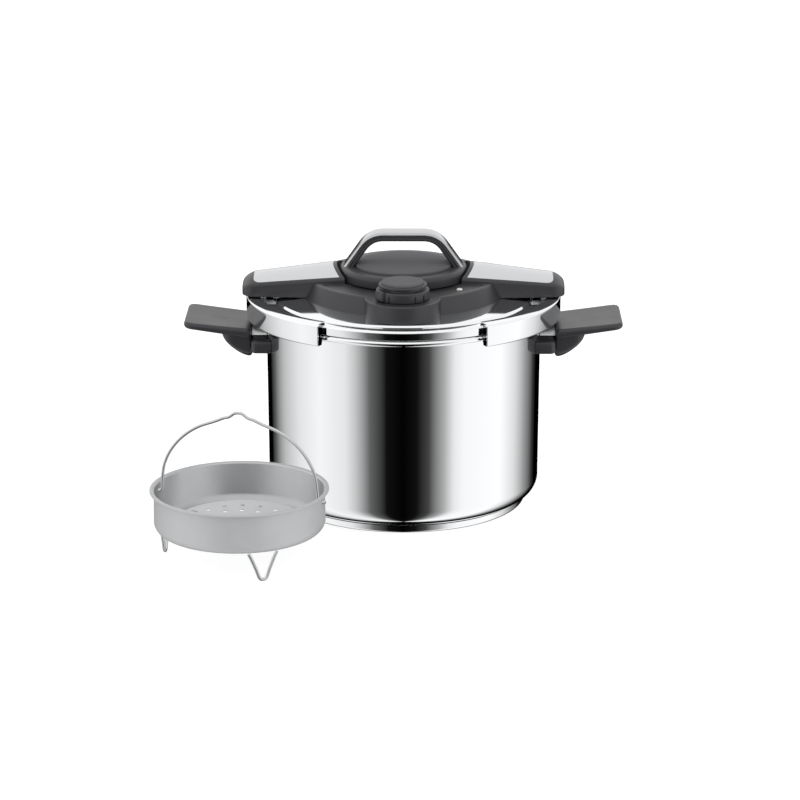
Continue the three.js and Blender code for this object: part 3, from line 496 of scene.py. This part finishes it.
# %% [markdown]
# ## The side grips
# Each grip is a flat blade with a fuller belly under its root, where the fingers curl round it and the
# screw goes in. It stands off the hot wall on a moulded bracket, with a steel lug between them.

# %% Grips and brackets
low, high = span("grip_right")
root, end = low[0], high[0]
blade_top, belly_floor = high[2], low[2]
half_width = high[1]
RISE, REACH = 6.5, end - root
HOLLOW, UNDER_BOW, ROOT_THICK, END_THICK = 0.6, 0.8, 8.5, 6.0
BELLY_REACH, BELLY_TOP, BELLY_HALF = 26, 7, 24
SCREW_WELL_R = 5.1
root_top = blade_top - RISE


def blade(x, y):
    """The blade's top: a straight rise outwards, less a hollow across its middle."""
    u = (x - root) / REACH
    return root_top + RISE * u - HOLLOW * np.sin(np.pi * np.clip(u, 0, 1)) * (1 - (y / half_width) ** 2)


def blade_floor(x, y):
    """The blade's underside: a thickness below the top that falls along the blade, bowed across."""
    u = (x - root) / REACH
    thick = ROOT_THICK + (END_THICK - ROOT_THICK) * u
    return root_top + RISE * u - thick + UNDER_BOW * (y / half_width) ** 2


def belly_under(x, y):
    """The belly's underside: a quarter wave from its lowest point, at the root, up to the blade."""
    u = np.clip((x - root) / BELLY_REACH, 0, 1)
    deep = root_top - BELLY_TOP - belly_floor
    return root_top - BELLY_TOP - deep * np.cos(u * np.pi / 2) ** 0.8 * (1 - 0.35 * (y / BELLY_HALF) ** 2)


outline = rounded([[root, 3 - half_width], [end, -half_width], [end, half_width], [root, half_width - 3]],
                  [3, 8, 8, 3])
blades = pillow("grip_right_body", outline, blade, blade_floor, 2.6, (root + 20, end - 20, 0))
outline = rounded([[root, -22], [root + 25, -20], [root + 25, 20], [root, 22]], [2, 9, 9, 2])
belly = pillow("belly", outline, lambda x, y: blade(x, y) - 4, belly_under, 1.5,
               (root + 10, root + 14, 0), 3)
grip = combine(blades, [belly], "UNION")
screw_z = sum(span("grip_screw_right")[k][2] for k in (0, 1)) / 2
well = carried("screw_well", [[root + along, 0, screw_z] for along in (6, 20, 40)],
               (0, 1, 0), arc(0, 0, SCREW_WELL_R, 0, 360, 32)[:-1])
grip = combine(grip, [well], "DIFFERENCE")
other = turned_copy(grip, "grip_left_body")
dress(grip, "black_plastic", "pot", "grip_right")
dress(other, "black_plastic", "pot", "grip_left")

low, high = span("grip_bracket_right")
face, half = high[0], high[1]
outline = rounded([[face - 40, -half], [face, -half], [face, half], [face - 40, half]], [1, 5, 5, 1])
bracket = pillow("bracket_right", outline, level_at(high[2]), level_at(low[2]), 2.4,
                 (face - 25, face - 20, 0))
core_r, core_top = wall_r + 0.2, 200  # the bracket is cut to the wall's curve
core = turned("core", [[0, 0], [core_r, 0], [core_r, core_top], [0, core_top]])
bracket = combine(bracket, [core], "DIFFERENCE")
other = turned_copy(bracket, "bracket_left")
dress(bracket, "black_plastic", "pot", "grip_bracket_right")
dress(other, "black_plastic", "pot", "grip_bracket_left")

# %% [markdown]
# ## The lid
# The lid is another pressing: a band that drops over the pot's bead, a flat ring, a step and a shallow
# dome. The jaws are C-shaped, so that closed they hold the lid's ring down on the bead.

# %% Lid shell
SHEET, LEDGE, STEP, DOME_RISE = 1.2, 10.6, 1.6, 4.3
low, high = span("lid_shell")
lid_r, lid_floor = high[0], low[2]
dome_edge = high[2] - DOME_RISE
ledge_z = dome_edge - STEP
dome_r = lid_r - LEDGE - STEP


def dome(r, offset=0.0):
    """Height of the dome: its edge plus its rise times one less the square of r over its radius."""
    return dome_edge + offset + DOME_RISE * (1 - (r / dome_r) ** 2)


radii = np.linspace(dome_r, 0, 24)
outside = np.vstack([
    rounded([[lid_r - SHEET, lid_floor], [lid_r, lid_floor], [lid_r, ledge_z], [lid_r - LEDGE, ledge_z],
             [dome_r, dome_edge]], [0, 0.3, 2, 0.8, 0]),
    np.stack([radii, dome(radii)], -1)])
inside = np.vstack([
    np.stack([radii, dome(radii, -SHEET)], -1)[::-1],
    [[lid_r - LEDGE - 1, ledge_z - SHEET], [lid_r - SHEET, ledge_z - SHEET]]])
shell = turned("lid_pressing", np.vstack([inside, outside]), steps=256)
dress(shell, "polished_steel", "lid", "lid_shell")

# %% Jaws
GAUGE, GAP, HOOK_DEPTH, FLANGE, HALF_ANGLE = 1.8, 0.6, 3.3, 9.8, 61
low, high = span("jaw_right")
open_by = high[0] - lid_r - GAP - GAUGE  # how far the jaws stand open at rest
jaw_r = lid_r + GAP
jaw_top, jaw_floor = high[2], low[2]
hook = bead_x + BEAD - HOOK_DEPTH
section = rounded([
    [hook, jaw_floor], [jaw_r + GAUGE, jaw_floor], [jaw_r + GAUGE, jaw_top], [jaw_r - FLANGE, jaw_top],
    [jaw_r - FLANGE, jaw_top - GAUGE], [jaw_r, jaw_top - GAUGE], [jaw_r, jaw_floor + GAUGE],
    [hook, jaw_floor + GAUGE],
], [0.5, 2.2, 2.2, 0.5, 0.5, 0.8, 0.8, 0.5], 5)
for name, body, sign, middle in (("right", "right_clamp", 1, 0), ("left", "left_clamp", -1, 180)):
    jaw = turned(f"jaw_{name}_pressing", section, (sign * open_by, 0), 96,
                 middle - HALF_ANGLE, middle + HALF_ANGLE)
    edge = jaw.modifiers.new("edge", "BEVEL")
    edge.width, edge.segments = 0.4 * MM, 2
    edge.limit_method, edge.angle_limit = "ANGLE", math.radians(50)
    dress(jaw, "polished_steel", body, f"jaw_{name}")

# %% [markdown]
# ## The lid's cover
# One moulding carries the hub: a round platform on the dome, a lobe under the selector and two arms
# that fall away to either side over the slide bars. It is hollow, so it is built as an outer body and
# cut with a smaller one. A shallow panel is sunk into the front of the platform, behind the lobe.

# %% Cover
COVER_WALL, PLATFORM_R, PLATFORM_TOP_R, PLATFORM_TOP = 2.4, 84.3, 77.3, 190.5
ARM_TOP, ARM_CROWN, ARM_FALL, ARM_FLOOR = 202.0, 52.0, math.radians(7.3), 177.5
ARM_HUB_HALF, ARM_END_HALF, ARM_ROLL, ARM_ROLL_DROP = 27.5, 21.0, 11, 5.5
ARM_HOLLOW_DROP = 3.6  # the arm's hollow lies this far under its crown
LOBE_R, LOBE_BASE = 31.0, 185
PANEL_MARGIN, PANEL_CHORD, PANEL_DEPTH = 3.2, 31.5, 0.7
HUB_GAP, HUB_HOLE, VALVE_HOLE_R, PIN_HOLE_R = 2.2, 14, 13, 3.4
CUT_FLOOR, CUT_TOP = 150, 240  # a cutting tool runs from one height to the other
LOBE_Y = sum(corner[1] for corner in span("selector_cap")) / 2
hub_high = span("hub_collar")[1]
hub_r = hub_high[0]
well_r = hub_r + HUB_GAP
arm_end = span("lid_cover")[1][0]
foot = dome_edge + 0.4


def crown(x, y):
    """An arm's top: a circle's arc across, falling along the arm, and rolling down near its end."""
    over = ARM_TOP - ARM_CROWN + np.sqrt(np.maximum(ARM_CROWN ** 2 - y ** 2, 0))
    roll = np.clip((np.abs(x) - (arm_end - ARM_ROLL)) / ARM_ROLL, 0, 1)
    return over - math.tan(ARM_FALL) * (np.abs(x) - hub_r) - ARM_ROLL_DROP * roll ** 2.2


def arm_body(name, inset, floor, lower=0.0, edge=1.6):
    """One arm as a pillow under its crown, drawn in by an inset on the sides."""
    hub, end, far = ARM_HUB_HALF - inset, ARM_END_HALF - inset, arm_end - inset
    plan = rounded([[-2, -hub], [hub_r, -hub], [far, -end], [far, end], [hub_r, hub], [-2, hub]],
                   [1, 14, 11, 11, 14, 1], 10)
    return pillow(name, plan, lambda x, y: crown(x, y) - lower, level_at(floor), edge,
                  (20, far - 22, 0), 0.6, 300, 16)


def platform(name, inset, floor):
    """The round platform, its top edge rounded."""
    top = PLATFORM_TOP - inset
    return turned(name, rounded([[0, floor], [PLATFORM_R - inset, floor], [PLATFORM_R - inset, ARM_FLOOR],
                                 [PLATFORM_TOP_R - inset, top], [0, top]], [0, 0.4, 3, 2, 0]))


def lobe(name, inset, floor):
    """The round lobe the selector stands on."""
    top = PLATFORM_TOP - inset
    return turned(name, rounded([[0, floor], [LOBE_R - inset, floor], [LOBE_R - inset - 0.6, top], [0, top]],
                                [0, 0.4, 1.6, 0]), (0, LOBE_Y), 128)


def rod(name, r, x, y, floor=CUT_FLOOR):
    """An upright rod to cut with."""
    return turned(name, [[0, floor], [r, floor], [r, CUT_TOP], [0, CUT_TOP]], (x, y), 96)


def both(make, name):
    """A piece and its copy turned half round."""
    first = make(name)
    return [first, turned_copy(first, name + "_2")]


def front_panel(name):
    """The sunk panel: the part of a circle beyond a chord, its tips rounded."""
    reach = PLATFORM_TOP_R - PANEL_MARGIN
    half = math.degrees(math.acos(PANEL_CHORD / reach))
    plan = arc(0, 0, reach, -90 - half, -90 + half, 80)
    return pillow(name, rounded(plan[::4], 1.5, 3), level_at(195), level_at(PLATFORM_TOP - PANEL_DEPTH),
                  0.3, (-20, 20, -50), 0.25, 240, 6)


cover = platform("cover_moulding", 0, foot)
arms = both(lambda name: arm_body(name, 0, ARM_FLOOR, 0.35), "arm")
cover = combine(cover, [lobe("lobe", 0, foot), *arms], "UNION")
cover = combine(cover, [front_panel("panel")], "DIFFERENCE")
# The panel runs on under the lobe, whose top is put back.
lobe_top_r = LOBE_R - 0.5
lobe_top = turned("lobe_top", rounded([[0, LOBE_BASE], [lobe_top_r, LOBE_BASE], [lobe_top_r, PLATFORM_TOP],
                                       [0, PLATFORM_TOP]], [0, 0, 1.2, 0]), (0, LOBE_Y), 128)
cover = combine(cover, [lobe_top], "UNION")
hollow_arms = both(lambda name: arm_body(name, COVER_WALL, ARM_FLOOR - 4, ARM_HOLLOW_DROP, 0.5),
                   "arm_hollow")
inner = platform("hollow", COVER_WALL, foot - 3)
inner = combine(inner, [lobe("lobe_hollow", COVER_WALL, foot - 3), *hollow_arms], "UNION")
# The well that the hub turns in keeps a wall and a floor of its own inside the hollow.
roof_r, roof_z = well_r + COVER_WALL, PLATFORM_TOP - COVER_WALL
roof = turned("roof", [[0, roof_z], [roof_r, roof_z], [roof_r, CUT_TOP], [0, CUT_TOP]])
inner = combine(inner, [roof], "DIFFERENCE")
pin_x, pin_y = (sum(span("indicator_pin")[k][axis] for k in (0, 1)) / 2 for axis in (0, 1))
cover = combine(cover, [inner, rod("hub_well", well_r, 0, 0, PLATFORM_TOP - 0.5),
                        rod("hub_hole", hub_r - HUB_HOLE, 0, 0), rod("valve_hole", VALVE_HOLE_R, 0, LOBE_Y),
                        rod("pin_hole", PIN_HOLE_R, pin_x, pin_y)], "DIFFERENCE")
dress(cover, "black_plastic", "lid", "lid_cover")

# %% Trims
# The satin plate let into each arm: the arm's outline drawn in, cut short of its end, and hollowed
# round the hub by the circle that the hub turns in.
TRIM_MARGIN, TRIM_SHORT, TRIM_INSET, TRIM_SHEET = 3, 9.5, 2.2, 1.2
trim_r, trim_end, shoulder = well_r + TRIM_MARGIN, arm_end - TRIM_SHORT, hub_r + 8


def trim_half(x):
    """Half the plate's width, which narrows along the arm as the arm does."""
    u = np.clip((x - hub_r) / (arm_end - hub_r), 0, 1)
    return ARM_HUB_HALF + (ARM_END_HALF - ARM_HUB_HALF) * u - TRIM_INSET


start = math.degrees(math.asin(trim_half(0) / trim_r))
end_y, shoulder_y = trim_half(trim_end), trim_half(shoulder)
plate = np.vstack([arc(0, 0, trim_r, start, -start, 40),
                   rounded([[shoulder, -shoulder_y], [trim_end, -end_y], [trim_end, end_y],
                            [shoulder, shoulder_y]], [0, 7, 7, 0], 8)])
trims = both(lambda name: pillow(name, plate, crown, lambda x, y: crown(x, y) - TRIM_SHEET, 0.35,
                                 (hub_r + 18, trim_end - 16, 0), 0.2, 360, 14), "trim_right_plate")
for piece, side_name in zip(trims, ("right", "left")):
    piece.name = f"trim_{side_name}_plate"
    dress(piece, "silver_trim", "lid", f"arm_trim_{side_name}")

# %% [markdown]
# ## The hub and its bow
# The hub turns a quarter turn to draw the jaws in. The bow is a polished strap bent over a dark lining,
# and its legs run down into the hub's ring on both sides of a flat cap.

# %% Hub ring and cap
hub_floor, hub_top = PLATFORM_TOP + 0.3, hub_high[2]
cap_high = span("hub_cap")[1]
cap_r, cap_top = cap_high[0], cap_high[2]
SPIGOT, CAP_EDGE, CAP_CROWN = 3, 4, 0.3
bore, seat, seat_z = hub_r - 15, cap_r - 6, hub_top - 1.6
ring = rounded([[bore, hub_floor - SPIGOT], [bore, hub_floor], [hub_r, hub_floor], [hub_r, hub_top - 2.2],
                [hub_r - 1.8, hub_top], [cap_r + 0.3, hub_top],
                [cap_r - 1, seat_z], [seat, seat_z], [seat, hub_floor - SPIGOT]],
               [0, 0, 0.4, 1.2, 1.2, 0.4, 0.3, 0, 0])
dress(turned("hub_ring", ring), "black_plastic", "hub", "hub_collar")
flat_r = cap_r - CAP_EDGE
steps = np.linspace(flat_r, 0, 14)
disc = np.vstack([
    rounded([[0, hub_top - 0.4], [cap_r, hub_top - 0.4], [cap_r, cap_top - 0.6],
             [flat_r, cap_top - CAP_CROWN]], [0, 0, 1, 0]),
    np.stack([steps, cap_top - CAP_CROWN * (steps / flat_r) ** 2], -1)])
# The cap's dark grey is a painted sheen.
dress(turned("hub_disc", disc), "grey_plastic", "hub", "hub_cap")

# %% Bow
STRAP, LINING, DEPTH, TOP_HALF, CORNER_CUT = 4.2, 3.2, 20.0, 29.0, 13.0
low, high = span("bow_strap")
foot_half, bow_foot, bow_top = high[0], low[2], high[2]
lean = (foot_half - TOP_HALF) / (bow_top - bow_foot)


def bow_path(inset):
    """The bow's centre line drawn in by an inset from its outside: feet, then two rounded corners."""
    top = bow_top - inset
    corner = TOP_HALF + inset * lean - inset * math.hypot(1, lean)
    foot_x = corner + (top - bow_foot) * lean
    legs = np.linspace(0, 1, 12)[:, None]
    bend = rounded([[-foot_x, bow_foot], [-corner, top], [corner, top], [foot_x, bow_foot]],
                   [0, CORNER_CUT - inset * 0.6, CORNER_CUT - inset * 0.6, 0], 14)[15:45]
    line = np.vstack([[-foot_x, bow_foot] + legs[:-1] * (bend[0] - [-foot_x, bow_foot]), bend,
                      bend[-1] + legs[1:] * ([foot_x, bow_foot] - bend[-1])])
    return np.stack([line[:, 0], 0 * line[:, 0], line[:, 1]], -1)


def bar_section(thick, wide, edge):
    """A rectangle with rounded corners."""
    t, w = thick / 2, wide / 2
    return rounded([[-t, -w], [t, -w], [t, w], [-t, w]], edge, 6)


strap = carried("bow_band", bow_path(STRAP / 2), (0, 1, 0), bar_section(STRAP, DEPTH, 1.9))
dress(strap, "polished_steel", "hub", "bow_strap", look="bow_steel")
lining = carried("bow_inner", bow_path(STRAP + LINING / 2 - 0.2), (0, 1, 0),
                 bar_section(LINING, DEPTH - 1.2, 1.4))
dress(lining, "black_plastic", "hub", "bow_lining")

# %% [markdown]
# ## The pressure selector
# A low ring is turned with the fingers by a tab, and a lid sits in its top. It stands on the lobe.

# %% Selector
KNOB_R, RING, KNOB_TOP_R = 21.5, 8.0, 19.5
knob_floor, knob_top = PLATFORM_TOP + 0.3, span("selector_knob")[1][2]
neck = knob_floor + RING
profile = rounded([
    [3.4, knob_floor + 6], [6, knob_floor + 6], [6, knob_top - 4], [KNOB_TOP_R - 3, knob_top - 4],
    [KNOB_R - 2.2, neck - 2.5], [KNOB_R - 2.2, knob_floor], [KNOB_R, knob_floor], [KNOB_R, neck],
    [KNOB_TOP_R - 1.3, neck + 0.4], [KNOB_TOP_R - 1.3, neck + 1.8], [KNOB_TOP_R, neck + 2.2],
    [KNOB_TOP_R, knob_top], [3.4, knob_top]],
    [0, 0, 0, 0.5, 0.5, 0.3, 0.5, 1.4, 0.3, 0.3, 0.5, 1.6, 0])
knob = turned("selector_ring", profile, (0, LOBE_Y), 160)


def knob_block(name, turn, inner, outer, width, floor, top, edge):
    """A block that stands on the knob's side at an angle, between two radii."""
    half, middle = width / 2, (inner + outer) / 2
    plan = rounded([[inner, -half], [outer, -half], [outer, half], [inner, half]], edge * 1.4)
    straight = pillow(name, plan, level_at(top), level_at(floor), edge, (middle, middle, 0), None, 80, 3)
    made = turned_copy(straight, name, math.radians(turn))
    bpy.data.objects.remove(straight)
    points = np.empty(len(made.data.vertices) * 3)
    made.data.vertices.foreach_get("co", points)
    points[1::3] += LOBE_Y * MM
    made.data.vertices.foreach_set("co", points)
    return made


TAB_TURN, SLOT_TURNS, WINDOW_TURNS = -145, (-62, -38, -120), (-50, -130)
tab = knob_block("tab", TAB_TURN, KNOB_R - 2, KNOB_R + 2, 10, knob_floor + 0.4, neck + 0.9, 0.9)
knob = combine(knob, [tab], "UNION")
slots = [knob_block("slot", turn, KNOB_R - 1, KNOB_R + 4, 1.6, knob_floor - 2, knob_floor + 5.2, 0.2)
         for turn in SLOT_TURNS]
windows = [knob_block("window", turn, KNOB_TOP_R - 2.2, KNOB_TOP_R + 3, 9, neck + 0.2, neck + 2.6, 0.3)
           for turn in WINDOW_TURNS]
knob = combine(knob, slots + windows, "DIFFERENCE")
dress(knob, "black_plastic", "selector", "selector_knob")
lid_top = span("selector_cap")[1][2]
profile = rounded([[0, knob_top - 2], [KNOB_TOP_R - 2.4, knob_top - 2], [KNOB_TOP_R - 2.4, lid_top - 0.8],
                   [KNOB_TOP_R - 3.6, lid_top - 0.3], [0, lid_top]], [0, 0, 0.6, 0.8, 0])
# The selector's lid is dark grey as a painted sheen.
dress(turned("selector_disc", profile, (0, LOBE_Y), 160), "grey_plastic", "selector", "selector_cap")

# %% [markdown]
# ## The basket
# A shallow pan spun from thin sheet, its floor stepped and pierced, its rim turned out. A wire bail
# with a small peak hinges on its wall, and three narrow V feet of wire hold it off the table.

# %% Pan
low, high = span("basket_pan")
basket_x, basket_y = (low[0] + high[0]) / 2, (low[1] + high[1]) / 2
pan_floor, pan_top = low[2], high[2]
PAN_R, PAN_SHEET, PAN_CORNER, PAN_LIP, PAN_STEP = 68.0, 0.8, 8.0, 3.0, 6.0
corner_x, raised = PAN_R - PAN_CORNER, pan_floor + PAN_STEP  # its floor is pressed up
step_r = corner_x - 5
profile = np.vstack([
    rounded([[0, raised], [step_r - 3, raised], [step_r, pan_floor]], [0, 1.6, 0]),
    arc(corner_x, pan_floor + PAN_CORNER, PAN_CORNER, -90, 0, 16),
    rounded([[PAN_R, pan_top - 2.4], [PAN_R + PAN_LIP, pan_top - 1.4], [PAN_R + PAN_LIP, pan_top],
             [PAN_R, pan_top], [PAN_R - PAN_SHEET, pan_top - 1.2]], [1, 0.5, 0.7, 0.7, 0]),
    arc(corner_x, pan_floor + PAN_CORNER, PAN_CORNER - PAN_SHEET, 0, -90, 16),
    rounded([[step_r + 0.4, pan_floor + PAN_SHEET], [step_r - 2.6, raised + PAN_SHEET],
             [0, raised + PAN_SHEET]], [0, 1.6, 0]),
])
pan = turned("basket_body", profile, (basket_x, basket_y), 192)
RINGS = [(1, 0), (6, 13), (12, 26), (16, 38)]  # rings of round holes: how many, and at what radius
HOLE_R, LARGE_HOLE_REACH, LARGE_HOLE_R = 2.2, 44.5, 4.6
hole = [[0, 20], [HOLE_R, 20], [HOLE_R, 40], [0, 40]]
cutters = [
    turned("hole", hole, (basket_x + reach * math.cos(math.tau * i / count),
                          basket_y + reach * math.sin(math.tau * i / count)), 16)
    for count, reach in RINGS for i in range(count)]
# Two larger holes with three rounded corners, pointing inwards.
for turn in (30, 150):
    a = math.radians(turn)
    plan = [[LARGE_HOLE_REACH * math.cos(a) + LARGE_HOLE_R * math.cos(b + a),
             LARGE_HOLE_REACH * math.sin(a) + LARGE_HOLE_R * math.sin(b + a)]
            for b in (math.pi, -math.pi / 3, math.pi / 3)]
    plan = rounded(np.array(plan) + [basket_x, basket_y], 1.8)
    x, y = plan.mean(0)
    cutters.append(pillow("large_hole", plan, level_at(45), level_at(20), 0.05, (x, x, y), None, 48, 2))
pan = combine(pan, cutters, "DIFFERENCE")
dress(pan, "satin_steel", "basket", "basket_pan", look="matte_steel")
line_inside(pan, "spun_steel", (basket_x, basket_y), PAN_R - 0.1)


# %% Bail and feet
def smooth_line(points, steps=10):
    """A centripetal Catmull-Rom curve through its points: between two of them, a cubic whose end
    slopes come from the neighbours, each weighted by the square root of its distance."""
    p = np.asarray(points, float)
    p = np.vstack([2 * p[0] - p[1], p, 2 * p[-1] - p[-2]])
    gap = np.sqrt(np.linalg.norm(np.diff(p, axis=0), axis=1))[:, None]
    d0, d1, d2 = gap[:-2], gap[1:-1], gap[2:]
    p0, p1, p2, p3 = p[:-3], p[1:-2], p[2:-1], p[3:]
    m1 = d1 * ((p1 - p0) / d0 - (p2 - p0) / (d0 + d1) + (p2 - p1) / d1)
    m2 = d1 * ((p2 - p1) / d1 - (p3 - p1) / (d1 + d2) + (p3 - p2) / d2)
    t = np.linspace(0, 1, steps, endpoint=False)[None, :, None]
    p1, p2, m1, m2 = (v[:, None] for v in (p1, p2, m1, m2))
    line = (2 * t ** 3 - 3 * t ** 2 + 1) * p1 + (t ** 3 - 2 * t ** 2 + t) * m1 \
        + (3 * t ** 2 - 2 * t ** 3) * p2 + (t ** 3 - t ** 2) * m2
    return np.vstack([line.reshape(-1, p.shape[1]), p[-2]])


def bent_wire(name, flat, radius, azimuth, offset=0.0):
    """A round wire whose line is given as (across, height) in an upright plane turned to an azimuth and
    moved off the basket's centre."""
    line = smooth_line(flat)
    c, s = math.cos(azimuth), math.sin(azimuth)
    path = np.stack([basket_x + line[:, 0] * c + offset * s, basket_y + line[:, 0] * s - offset * c,
                     line[:, 1]], -1)
    return carried(name, path, (-s, c, 0), arc(0, 0, radius, 0, 360, 14)[:-1])


BAIL_AZIMUTH, BAIL_HEIGHT, BAIL_R, LEG_R = math.radians(-13), 63.0, 1.25, 1.3
pivot = pan_top - 7
side_x = PAN_R - PAN_SHEET - 3
half_line = [[PAN_R + 2.5, 0], [side_x + 1.5, 0], [side_x, 1.8], [side_x - 0.5, 8]]
half_line += [[(side_x - 0.5) * math.cos(a), 8 + (BAIL_HEIGHT - 8) * math.sin(a)]
              for a in (math.pi / 2 * i / 6.2 for i in range(1, 6))]
half_line += [[12, BAIL_HEIGHT + 0.5], [7.5, BAIL_HEIGHT + 1.8], [2.8, BAIL_HEIGHT + 5]]
line = np.array(half_line + [[-x, z] for x, z in half_line[::-1]]) + [0, pivot]
dress(bent_wire("bail_wire", line, BAIL_R, BAIL_AZIMUTH), "satin_steel", "bail", "basket_bail")

FOOT_REACH = PAN_R - 6.5
leg_top = pan_floor + 0.9 - LEG_R  # so that the wire ends within the pan's sheet
half_leg = [[11.6, leg_top + 0.2], [10, leg_top - 2.6], [5.8, pan_floor * 0.45], [2.4, LEG_R + 1]]
legs = [[-x, z] for x, z in half_leg] + [[0, LEG_R]] + half_leg[::-1]
for name, turn in (("front", 20), ("rear", 140), ("side", 260)):
    dress(bent_wire(f"foot_{name}", legs, LEG_R, math.radians(turn), FOOT_REACH), "satin_steel", "basket",
          f"basket_leg_{name}")

# %% [markdown]
# ## The pieces that keep their CAD shape
# Screws, rivets, bars, valves and seals are already right, and only need their finish.

# %% Finishes for the rest
KEPT = {
    "aluminium": ["base_core"],
    "silicone": ["lid_gasket", "indicator_seal"],
    "indicator_white": ["indicator_pin"],
    "spring_steel": ["grip_screw_left", "grip_screw_right", "hub_pinion"],
}
slot_of = {name: slot for slot, names in KEPT.items() for name in names}
for name, node in nodes.items():
    kept = FINISHES[slot_of.get(name, "satin_steel")]
    if not node.hide_render:
        node.data.materials.clear()
        node.data.materials.append(kept)

# %% [markdown]
# ## The table
# A pale sheet lit from within, as a product table is. It glows as much as it reflects, so the shadows
# on it stay faint.

# %% Table
HALF, GREY, GLOW = 8, 0.4, 0.78
sheet = bpy.data.meshes.new("table")
sheet.from_pydata([(-HALF, -HALF, 0), (HALF, -HALF, 0), (HALF, HALF, 0), (-HALF, HALF, 0)], [],
                  [(0, 1, 2, 3)])
table = bpy.data.objects.new("table", sheet)
bpy.context.scene.collection.objects.link(table)
pale = bpy.data.materials.new("lit acrylic sheet")
pale.use_nodes = True
glow = pale.node_tree.nodes["Principled BSDF"]
glow.inputs["Base Color"].default_value = (GREY, GREY, GREY, 1)
glow.inputs["Specular IOR Level"].default_value = 0
glow.inputs["Roughness"].default_value = 1
glow.inputs["Emission Color"].default_value = (1, 1, 1, 1)
glow.inputs["Emission Strength"].default_value = GLOW
sheet.materials.append(pale)
table.visible_glossy = False

# %% [markdown]
# The basket stands close to the mirror. It is left out of reflections, so that the pot's wall shows
# the screens alone.

# %% Quiet reflections
for piece in bpy.context.scene.objects:
    if piece.name.startswith(("basket_body", "bail_wire", "foot_")):
        piece.visible_glossy = False
